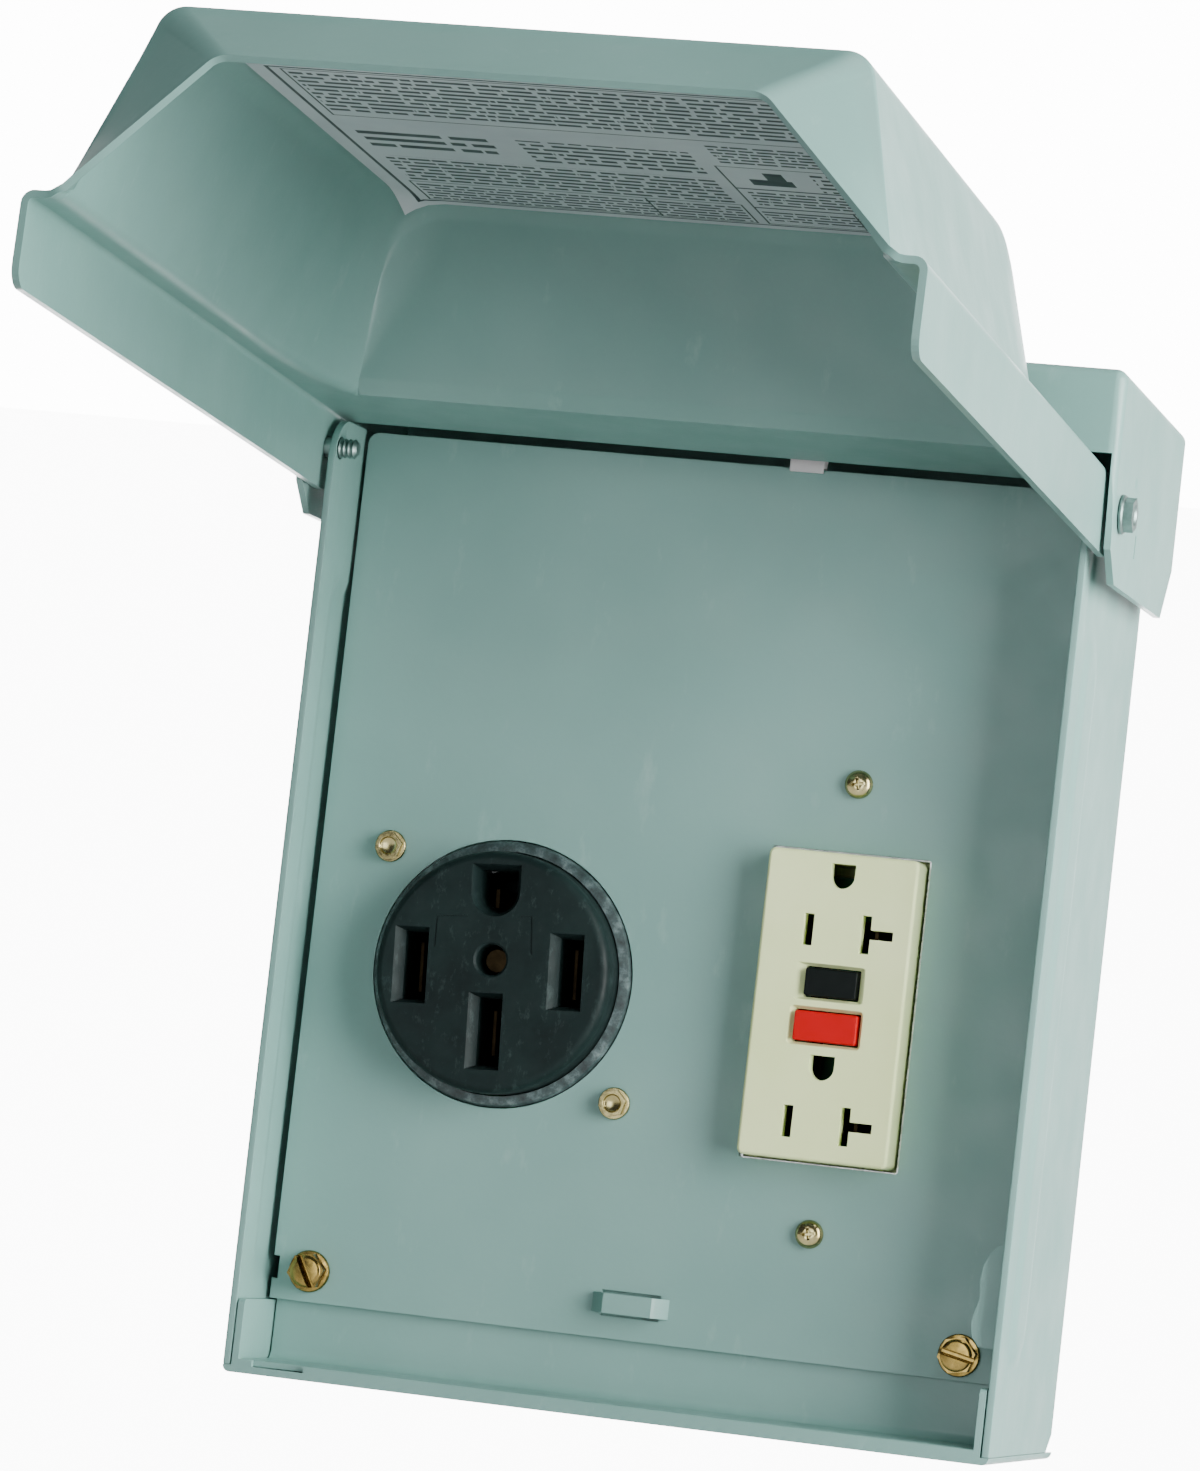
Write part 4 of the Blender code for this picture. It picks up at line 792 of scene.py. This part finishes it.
def label_material():
    """Pale printed sheet: a border rule, rows of text-like dashes and boxes, with no lettering."""
    s = Shader("printed_sheet", 0.42, Specular_IOR_Level=0.35)
    x, y, z = s.axes()
    y = s.math("SUBTRACT", PIVOT[0] * MM, y)
    z = s.math("SUBTRACT", z, (PIVOT[1] - UP) * MM)
    u = s.math("ADD", s.math("MULTIPLY", y, cos(TILT) / MM),
               s.math("MULTIPLY", z, sin(TILT) / MM))
    x = s.math("MULTIPLY", x, 1 / MM)

    def inside(value, low, high):
        """1 where a value lies between two numbers."""
        return s.math("MULTIPLY", s.math("GREATER_THAN", value, low),
                      s.math("LESS_THAN", value, high))

    def area(x_low, x_high, u_low, u_high):
        return s.math("MULTIPLY", inside(x, x_low, x_high), inside(u, u_low, u_high))

    def outline(x_low, x_high, u_low, u_high, wide):
        inner = area(x_low + wide, x_high - wide, u_low + wide, u_high - wide)
        return s.math("SUBTRACT", area(x_low, x_high, u_low, u_high), inner)

    def dashes(x_low, x_high, u_low, u_high, pitch, seed):
        """Rows of broken dark dashes, as small print looks from a distance."""
        row = s.math("MULTIPLY", u, 1 / pitch)
        band = inside(s.math("FRACT", row, 0.0), 0.3, 0.78)
        node = s.tree.nodes.new("ShaderNodeCombineXYZ")
        s.link(s.math("MULTIPLY", x, 1.6 / pitch), node.inputs[0])
        s.link(s.math("ADD", s.math("FLOOR", row, 0.0), seed), node.inputs[1])
        words = s.tree.nodes.new("ShaderNodeTexNoise")
        words.inputs["Scale"].default_value = 1.0
        words.inputs["Detail"].default_value = 1.0
        s.link(node.outputs[0], words.inputs["Vector"])
        ink = s.math("GREATER_THAN", words.outputs["Fac"], 0.43)
        return s.math("MULTIPLY", s.math("MULTIPLY", band, ink),
                      area(x_low, x_high, u_low, u_high))

    h, low, high = LABEL_HALF, LABEL_REAR, LABEL_FRONT
    marks = [outline(-h + 3.4, h - 3.4, low + 3.0, high - 3.4, 0.8)]
    # Each block: two x limits, two u limits, the pitch of its rows, and a seed.
    for block in ((-56, 14, 44, 58, 2.4, 3), (-56, 14, 61, 82, 3.0, 11),
                  (-22, 14, 85, 104, 3.4, 29), (18, 57, 45, 56, 2.4, 41),
                  (19, 57, 60, 73, 2.6, 53), (36, 57, 76, 92, 3.4, 67),
                  (19, 57, 97, 112, 2.6, 71), (-56, -28, 88, 104, 5.2, 83),
                  (-56, 57, 118, 150, 3.2, 97)):
        marks.append(dashes(*block))
    for frame_box in ((-57, 15, 43, 59.5), (17, 58, 43, 58), (17, 58, 58, 75), (17, 58, 75, 94),
                      (-6, 15, 43, 59.5), (38, 58, 43, 58), (-57, 58, 115, 152)):
        marks.append(outline(*frame_box, 0.45))
    marks += [area(22, 31, 79, 84), area(26, 30, 84, 90)]
    total = marks[0]
    for mark in marks[1:]:
        total = s.math("MAXIMUM", total, mark)
    stock = s.ramp(s.noise(30, 3), [(0.3, rgb(196, 204, 208)), (0.7, rgb(212, 220, 222))])
    s.colour(s.mix(total, stock, rgb(34, 42, 44)))
    s.roughness(s.levels(s.noise(200, 3), 0.36, 0.5))
    s.bump(s.noise(50, 3), 0.0004, 0.2)
    return s.material


def label_w(x, u, lower):
    """Height of the label on the dome's inside, which rounds down at the sides."""
    height, radius = dome_height(u), dome_edge(u)
    middle = dome_half(u) - radius / cos(DRAFT) - (height - radius) * tan(DRAFT)
    inner = radius - 1.5 - lower
    away = min(max(0.0, abs(x) - middle), inner)
    return PAN_W + height - radius + sqrt(inner * inner - away * away)


def build_label():
    """The printed sheet under the dome's roof."""
    def build(bm):
        grids = []
        for lower in (GAP, 0.7):
            grid = []
            for k in range(31):
                u = LABEL_REAR + (LABEL_FRONT - LABEL_REAR) * (k / 30) ** 1.5
                row = []
                for j in range(25):
                    x = LABEL_HALF * sin((j / 12 - 1) * pi / 2)
                    row.append(bm.verts.new(hinge_frame(x, u, label_w(x, u, lower))))
                grid.append(row)
            grids.append(grid)
        for grid in grids:
            for a, b in zip(grid, grid[1:]):
                strip(bm, a, b, False)
        upper, lower = grids

        def rim(grid):
            return (grid[0] + [row[-1] for row in grid[1:]] + grid[-1][-2::-1]
                    + [row[0] for row in grid[-2:0:-1]])

        strip(bm, rim(upper), rim(lower))
        bmesh.ops.recalc_face_normals(bm, faces=bm.faces)

    sheet = make("cover_label_sheet", build)
    shade(sheet, 32)
    place(sheet, "cover", label_material(), ["cover_label"])


# ---- dead front
GF = (36.7, 91.8)
R50 = (-37.6, 91.7)
R50_TURN = radians(3.0)
PANEL_SCREWS = ((-73.2, 22.9), (71.9, 21.6))
R50_SCREWS = tuple((R50[0] + x, R50[1] + z) for x, z in ((-28.3, 25.2), (28.3, -25.2)))
GF_SCREWS = tuple((GF[0], GF[1] + up) for up in (48.4, -48.4))


def build_catch():
    """Bent catch on the right wall: an uneven leaf in front and a leg along the wall."""
    wall = WALL_IN - GAP
    leaf = [(wall, 24.1), (78.9, 24.2), (77.3, 26.2), (76.8, 29.0), (77.3, 31.8), (78.1, 34.4),
            (77.7, 38.2), (78.1, 41.4), (79.5, 44.3), (81.0, 45.9), (wall, 46.0)]

    catch = make("cover_catch_leaf", lambda bm: prism(bm, leaf, "Y", -68.4, -67.2))
    combine(catch, lambda bm: box(bm, (wall - 1.2, wall), (-68.3, -56.0), (24.3, 45.8)), "UNION")
    soften(catch, 0.4, 3)
    place(catch, "box", M["paint"], ["cover_catch"])


def build_dead_front():
    x_low, x_high, z_low, z_high = -81.7, 80.3, 16.2, 207.1

    def plate(bm):
        corner = arc((x_low + 2.5, z_high - 2.5), 2.5, 90, 180, 5)
        outline = corner + [(x_low, z_low), (x_high, z_low), (x_high, z_high)]
        prism(bm, outline, "Y", PANEL_FRONT, PANEL_BACK)

    panel = make("dead_front_panel", plate)

    def bridge(y_shift, half_h, cut):
        """The pressed pull: a flat-topped bridge with sloping ends."""
        def build(bm):
            cx, cz = -0.8, 23.8
            run, top, rise = 8.7, 5.4, 3.4
            y = PANEL_FRONT + 0.3
            if cut:
                run, top, rise, y = 7.1, 4.3, 2.1, PANEL_BACK + 2
            base = PANEL_FRONT - rise
            points = [(cx - run, y), (cx - run + 0.6, PANEL_FRONT - 0.5 + y_shift),
                      (cx - top - 0.7, base + 0.5), (cx - top, base), (cx + top, base),
                      (cx + top + 0.7, base + 0.5),
                      (cx + run - 0.6, PANEL_FRONT - 0.5 + y_shift), (cx + run, y)]
            prism(bm, points, "Z", cz - half_h, cz + half_h)
        return build

    combine(panel, bridge(0.0, 2.15, False), "UNION")
    combine(panel, bridge(0.4, 2.8, True))

    def openings(bm):
        prism(bm, rounded(GF, (35.2, 67.4), 0.7, 3), "Y", *THROUGH)
        bore(bm, "Y", R50, 29.2, *THROUGH, 96)
        for spot in PANEL_SCREWS:
            bore(bm, "Y", spot, 2.5, -60, -40)
        for spot in R50_SCREWS + GF_SCREWS[::-1]:
            bore(bm, "Y", spot, 2.3, -60, -40)

    combine(panel, openings)
    combine(panel, lambda bm: box(bm, (x_low - 5, x_low + 1.3), (-60, -40), (20.6, 25.5)))
    soften(panel, 0.22)
    place(panel, "box", M["paint"], ["dead_front"])


def build_screws():
    front = PANEL_FRONT - GAP     # where the heads bear

    def slotted(name, spot, turn):
        def blank(bm):
            lathe(bm, "Y", spot, [(0, front + 9), (1.6, front + 9), (2.1, front + 8.2),
                                  (2.1, front), (4.6, front), (4.6, front - 0.5),
                                  (4.35, front - 0.95), (3.6, front - 1.0), (0, front - 1.0)], 48)

        screw = make(name, blank)
        combine(screw, lambda bm: prism(bm, hexagon(spot, 7.2, 10), "Y",
                                        front - 3.5, front - 0.6), "UNION")
        cap = [(0, front - 3.0), (3.55, front - 3.0), (3.45, front - 3.55), (2.7, front - 3.95),
               (0, front - 4.0)]
        combine(screw, lambda bm: lathe(bm, "Y", spot, cap, 48), "UNION")
        deep, wide = (turned(box_outline((-6, 6), (-w, w)), spot, turn) for w in (0.3, 0.95))
        combine(screw, lambda bm: prism(bm, wide, "Y", front - 4.8, front - 1.6, top=deep))
        return soften(screw, 0.14)

    turns = (radians(-62), radians(-12))
    for side, spot, turn in zip(("left", "right"), PANEL_SCREWS, turns):
        obj = slotted("panel_screw_piece_" + side, spot, turn)
        place(obj, "box", M["yellow_zinc"], ["panel_screw_" + side])

    for side, spot in zip(("left", "right"), R50_SCREWS):
        def blank(bm):
            lathe(bm, "Y", spot, [(0, front + 7), (1.7, front + 6.6), (1.7, front), (3.5, front),
                                  (3.5, front - 0.4), (3.3, front - 0.7), (0, front - 0.75)], 40)

        screw = make("r50_fixing_screw_piece_" + side, blank)
        combine(screw, lambda bm: prism(bm, hexagon(spot, 5.3, 14), "Y",
                                        front - 2.3, front - 0.5), "UNION")
        dish = [(2.05, front - 6), (2.05, front - 2.35), (1.7, front - 1.75), (0, front - 1.45)]
        combine(screw, lambda bm: lathe(bm, "Y", spot, dish, 40))
        soften(screw, 0.14)
        place(screw, "box", M["pale_zinc"], ["r50_fixing_screw_" + side])

    for name, spot in zip(("upper", "lower"), GF_SCREWS):
        pan = [(0, front + 8), (1.7, front + 7.6), (1.7, front), (3.1, front),
               (3.1, front - 0.35), (2.85, front - 1.0), (2.2, front - 1.55), (1.2, front - 1.78),
               (0, front - 1.8)]
        screw = make("gfci_screw_piece_" + name, lambda bm: lathe(bm, "Y", spot, pan, 40))
        for turn in (0.2, 0.2 + pi / 2):
            bar = turned(box_outline((-1.75, 1.75), (-0.38, 0.38)), spot, turn)
            small = turned(box_outline((-0.9, 0.9), (-0.2, 0.2)), spot, turn)
            combine(screw, lambda bm: prism(bm, small, "Y", front - 0.5, front - 3, top=bar))
        soften(screw, 0.1)
        place(screw, "box", M["pale_zinc"], ["gfci_fixing_screw_" + name])

    for name, side in (("left", -1), ("right", 1)):
        head = 90.2               # from the middle to where the head bears
        start = side * head

        def blank(bm):
            profile = [(0, side * 78.7), (1.3, side * 78.7)]
            for k in range(4):
                near = 79.0 + 1.05 * k
                profile += [(1.65, side * near), (2.15, side * (near + 0.4)),
                            (2.15, side * (near + 0.55)), (1.65, side * (near + 0.95))]
            profile += [(2.15, side * 83.6), (2.15, start), (4.2, start),
                        (4.2, start + side * 0.45), (3.9, start + side * 0.8),
                        (0, start + side * 0.8)]
            lathe(bm, "X", PIVOT, profile, 48)

        screw = make("pivot_screw_piece_" + name, blank)
        low, high = mirrored(side, head + 0.5, head + 2.8)
        combine(screw, lambda bm: prism(bm, hexagon(PIVOT, 6.6, 22), "X", low, high), "UNION")
        dish = [(2.4, start + side * 6), (2.4, start + side * 2.9), (1.9, start + side * 2.3),
                (0, start + side * 2.1)]
        combine(screw, lambda bm: lathe(bm, "X", PIVOT, dish, 40))
        soften(screw, 0.2)
        place(screw, "box", M["dull_zinc"], ["pivot_screw_" + name])


# ---- 50 A outlet
def r50(points):
    """Outline given from the outlet's centre, in the outlet's own turn."""
    return turned(points, R50, R50_TURN)


def build_r50():
    y_ring, y_face = -53.2, -61.4
    profile = [(0, PANEL_BACK), (26.2, PANEL_BACK), (26.3, y_ring - 0.6), (26.25, y_face + 2.2),
               (26.0, y_face + 1.2), (25.5, y_face + 0.45), (24.8, y_face + 0.08),
               (24.3, y_face), (0, y_face)]
    face = make("r50_face_piece", lambda bm: lathe(bm, "Y", R50, profile, 112))

    def slot(bm, centre, size, left, ends):
        """A blade slot: a sloping land, wide on the left and narrow at the ends, over a hole."""
        x, z = centre
        hx, hz = size[0] / 2, size[1] / 2
        low = r50([(x - hx, z - hz), (x + hx, z - hz), (x + hx, z + hz), (x - hx, z + hz)])
        far = r50([(x - hx - 2 * left, z - hz - 2 * ends), (x + hx + 0.7, z - hz - 2 * ends),
                   (x + hx + 0.7, z + hz + 2 * ends), (x - hx - 2 * left, z + hz + 2 * ends)])
        depth = 2.3
        prism(bm, low, "Y", y_face + depth, y_face - depth, top=far)

    for x, z in ((-17.4, 0.7), (17.4, 0.7), (0.0, -12.9)):
        combine(face, lambda bm: slot(bm, (x, z), (5.4, 14.8), 1.9, 0.9))
        outline = r50(box_outline((x - 2.7, x + 2.7), (z - 7.4, z + 7.4)))
        combine(face, lambda bm: prism(bm, outline, "Y", *THROUGH))

    def ground(width, height):
        """Outline of the round-bottomed ground hole."""
        half = width / 2
        top, bottom = 17.6 + height / 2, 17.6 - height / 2
        curve = arc((0.0, bottom + half), half, 180, 360, 18)
        return r50(curve + [(half, top), (-half, top)])

    wide, narrow = ground(13.4, 13.4), ground(8.6, 9.2)
    combine(face, lambda bm: prism(bm, narrow, "Y", y_face + 2.3, y_face - 2.3, top=wide))
    combine(face, lambda bm: prism(bm, narrow, "Y", *THROUGH))
    spot = r50([(-0.2, 2.6)])[0]
    well = [(3.4, -40), (3.4, y_face + 0.5), (3.9, y_face), (3.9, -70)]
    combine(face, lambda bm: lathe(bm, "Y", spot, well, 48))
    for a, b in (((-12.7, 11.5), (-6.0, 11.8)), ((6.0, 12.2), (8.4, 12.3)),
                 ((8.4, 12.3), (8.8, 4.3)), ((-12.7, 11.5), (-12.9, 5.0))):
        def groove(bm, a=a, b=b):
            turn = R50_TURN + atan2(b[1] - a[1], b[0] - a[0])
            middle = r50([((a[0] + b[0]) / 2, (a[1] + b[1]) / 2)])[0]
            reach = hypot(b[0] - a[0], b[1] - a[1]) / 2 + 0.15
            line = turned(box_outline((-reach, reach), (-0.16, 0.16)), middle, turn)
            prism(bm, line, "Y", y_face + 0.22, y_face - 1)
        combine(face, groove)
    soften(face, 0.16, 2, 30)
    place(face, "box", M["black"], ["r50_face"])

    ring_profile = [(26.6, PANEL_BACK), (28.9, PANEL_BACK), (28.9, y_ring + 0.9),
                    (28.5, y_ring + 0.2), (27.9, y_ring), (27.0, y_ring - 0.25),
                    (26.6, y_ring - 0.3)]
    collar = make("r50_face_collar", lambda bm: lathe(bm, "Y", R50, ring_profile, 112, True))
    shade(collar, 40)
    place(collar, "box", M["ring"])


# ---- ground-fault outlet
def gf(points):
    return [(GF[0] + x, GF[1] + z) for x, z in points]


# Each button: x and z from the outlet's centre, width and height.
TEST = (0.2, 5.15, 11.4, 6.0)
RESET = (0.0, -4.35, 13.8, 6.4)


def build_gfci():
    y_face, back = -59.0, -47.5
    face = make("gfci_face_piece",
                lambda bm: prism(bm, rounded(GF, (33.0, 66.0), 1.4, 6), "Y", y_face, back))
    soften(face, 0.8, 4, 60)

    def hollow(bm):
        prism(bm, rounded(GF, (29.0, 62.0), 0.5, 2), "Y", y_face + 3.5, -40)

    def recess(bm):
        for x, z, wide, tall, grow in (TEST + (3.4,), RESET + (1.1,)):
            low = rounded((GF[0] + x, GF[1] + z), (wide + 0.9, tall + 0.9), 0.5, 3)
            high = rounded((GF[0] + x - grow * 0.2, GF[1] + z),
                           (wide + 1.6 + grow, tall + 2.2), 1.0, 3)
            prism(bm, low, "Y", y_face + 1.2, y_face - 0.3, top=high)

    combine(face, hollow)
    combine(face, recess)

    def holes(bm):
        for level in (16.2, -24.9):
            prism(bm, gf(box_outline((-7.15, -5.05), (level - 3.4, level + 3.4))), "Y", -70, -50)
            tee = gf([(x, level + z) for x, z in
                      ((5.4, -4.1), (7.5, -4.1), (7.5, -0.9), (12.4, -0.9), (12.4, 1.1),
                       (7.5, 1.1), (7.5, 4.1), (5.4, 4.1))])
            prism(bm, tee, "Y", -70, -50)
            z = level + 11.9
            curve = arc((0.1, z + 0.05), 2.7, 180, 360, 16)
            prism(bm, gf(curve + [(2.8, z + 2.65), (-2.6, z + 2.65)]), "Y", -70, -50)
        for x, z, wide, tall in (TEST, RESET):
            size = (wide + 0.7, tall + 0.7)
            prism(bm, rounded((GF[0] + x, GF[1] + z), size, 0.4, 3), "Y", -70, -50)

    combine(face, holes)
    soften(face, 0.12, 2, 50)
    place(face, "box", M["ivory"], ["gfci_face"])

    def button(name, spec, material, node, body):
        x, z, wide, tall = spec
        centre = (GF[0] + x, GF[1] + z)
        front = y_face - 0.7
        obj = make(name, lambda bm: prism(bm, rounded(centre, (wide, tall), 0.5, 4), "Y",
                                          front, front + 5.2))
        soften(obj, 0.35, 3, 50)
        place(obj, body, M[material], [node])

    button("test_button_piece", TEST, "black_button", "gfci_test_button",
           "test_button")
    button("reset_button_piece", RESET, "red", "gfci_reset_button", "reset_button")


# ---- camera, light and floor
def build_stage():
    yaw, pitch, roll = radians(15.02), radians(3.58), radians(6.46)
    forward = Vector((-sin(yaw) * cos(pitch), cos(yaw) * cos(pitch), sin(pitch)))
    right = forward.cross(Vector((0, 0, 1))).normalized()
    up = right.cross(forward)
    side = right * cos(roll) + up * sin(roll)
    top = up * cos(roll) - right * sin(roll)
    data = bpy.data.cameras.new("camera")
    data.sensor_fit = "VERTICAL"
    data.sensor_height = 36.0
    data.lens = 6406.0 / 1471.0 * 36.0     # focal length over frame height, both in pixels
    data.clip_end = 50
    camera = add("camera", data)
    place_at = Vector((337.7, -1391.8, 58.6 - UP)) * MM
    axes = Matrix((side, top, -forward)).transposed()
    camera.matrix_world = Matrix.Translation(place_at) @ axes.to_4x4()
    bpy.context.scene.camera = camera

    def lamp(name, spot, aim, size, power, tint, spread):
        """A soft lamp: place, aim and size in metres, power in watts, spread in degrees."""
        light = bpy.data.lights.new(name, "AREA")
        light.shape = "RECTANGLE"
        light.size, light.size_y = size
        light.energy = power
        light.color = tint
        light.spread = radians(spread)
        obj = add(name, light)
        obj.location = spot
        obj.visible_camera = False
        direction = Vector(aim) - Vector(spot)
        obj.rotation_euler = direction.to_track_quat("-Z", "Y").to_euler()

    lamp("key", (0.82, -0.34, 0.15), (0, -0.07, 0.03), (0.8, 0.8), 14.6, (1.0, 0.99, 0.98), 120)
    lamp("fill", (-0.05, -2.2, 0.16), (0, -0.05, 0.0), (0.9, 0.9), 1.9, (0.95, 0.98, 1.0), 70)
    lamp("top", (0.25, -0.75, 1.25), (0, -0.16, 0.12), (0.7, 0.7), 0.8, (0.98, 0.99, 1.0), 50)
    world = bpy.data.worlds.new("world")
    world.use_nodes = True
    back = world.node_tree.nodes["Background"]
    back.inputs["Color"].default_value = (0.92, 0.95, 0.96, 1.0)
    back.inputs["Strength"].default_value = 0.08
    bpy.context.scene.world = world
    bm = bmesh.new()
    low, bend = -0.48, 0.8
    cove = [(1.2 + bend * sin(a), low + bend - bend * cos(a))
            for a in (pi / 2 * k / 12 for k in range(1, 13))]
    path = [(-6.0, low), (1.2, low)] + cove + [(2.0, 4.0)]
    rows = [[bm.verts.new((x, y, z)) for x in (-4.0, 4.0)] for y, z in path]
    for a, b in zip(rows, rows[1:]):
        strip(bm, a, b, False)
    mesh = mesh_from(bm, "floor")
    mesh.shade_smooth()

    def sheet(name, least, pale):
        """One copy of the floor: it glows behind the object, and by least elsewhere."""
        s = Shader(name, 0.9)
        tints = [(stop, (grey, grey, grey, 1)) for stop, grey in ((0.3, pale), (0.7, pale + 0.04))]
        s.colour(s.ramp(s.noise(2, 2), tints))
        x, y, z = s.axes()
        across = s.math("POWER", s.math("ADD", x, 0.85), 2)
        above = s.math("POWER", s.math("SUBTRACT", z, 0.1), 2)
        far = s.math("SQRT", s.math("ADD", across, above), 0)
        glow = s.math("MULTIPLY", s.levels(far, 8.0, 0.0, 0.75, 1.25),
                      s.levels(y, 0, 1, 0.9, 1.3))
        s.shader.inputs["Emission Color"].default_value = (1, 1, 1, 1)
        s.link(s.math("MAXIMUM", glow, least), s.shader.inputs["Emission Strength"])
        copy = mesh.copy()
        copy.materials.append(s.material)
        obj = add(name, copy)
        obj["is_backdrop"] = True
        return obj

    # One copy is seen, one only bounces light, and a pale shell closes the rest of the view.
    sheet("floor", 1.2, 0.7).visible_diffuse = False
    bounce = sheet("bounce", 0.0, 0.78)
    bounce.visible_camera = bounce.visible_glossy = False
    bm = bmesh.new()
    bmesh.ops.create_icosphere(bm, subdivisions=4, radius=9.0)
    surround = add("surround", mesh_from(bm, "surround"))
    surround.visible_diffuse = surround.visible_glossy = False
    s = Shader("surround", 1.0)
    s.shader.inputs["Emission Color"].default_value = (1, 1, 1, 1)
    s.shader.inputs["Emission Strength"].default_value = 1.4
    surround.data.materials.append(s.material)
    surround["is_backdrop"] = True


build_stage()
build_back_box()
build_tray()
build_hood()
build_cover()
build_catch()
build_dead_front()
build_screws()
build_r50()
build_gfci()
build_label()

KEPT = {
    "paint": "bottom_knockout",
    "dull_zinc": "hood_rivet_left hood_rivet_right",
    "nylon": "top_bumper",
    "black": "r50_housing",
    "ivory": "gfci_body",
    "zinc": "r50_strap gfci_strap gfci_neutral_screw lug_screw_line_a lug_screw_line_b"
            " lug_screw_neutral",
    # The contact finish is painted shade: near-black brass standing for the shade in the slots and
    # the centre well.
    "contact": "r50_line_contact_left r50_line_contact_right r50_neutral_contact"
               " r50_ground_contact r50_centre_screw gfci_line_contacts gfci_neutral_contacts",
    "yellow_zinc": "r50_terminal_screw_left r50_terminal_screw_right r50_terminal_screw_neutral"
                   " r50_terminal_screw_ground gfci_line_screw ground_bar_screw_supply"
                   " ground_bar_screw_outlet",
    "board": "gfci_board",
    "copper": "gfci_sensing_coil gfci_solenoid",
    "insulator": "lug_base",
    "aluminium": "lug_line_a lug_line_b lug_neutral",
    "brass": "ground_bar",
    "wire_black": "wire_line_a wire_gfci_line",
    "wire_red": "wire_line_b",
    "wire_white": "wire_neutral wire_gfci_neutral",
    "wire_green": "wire_ground",
}
for finish, nodes in KEPT.items():
    for node in nodes.split():
        keep(node, finish, 0.0 if node.startswith("wire") else 0.15)

bpy.context.view_layer.update()
[[list(map(float, corner)) for corner in pair] for pair in (CAD_BOX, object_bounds())]
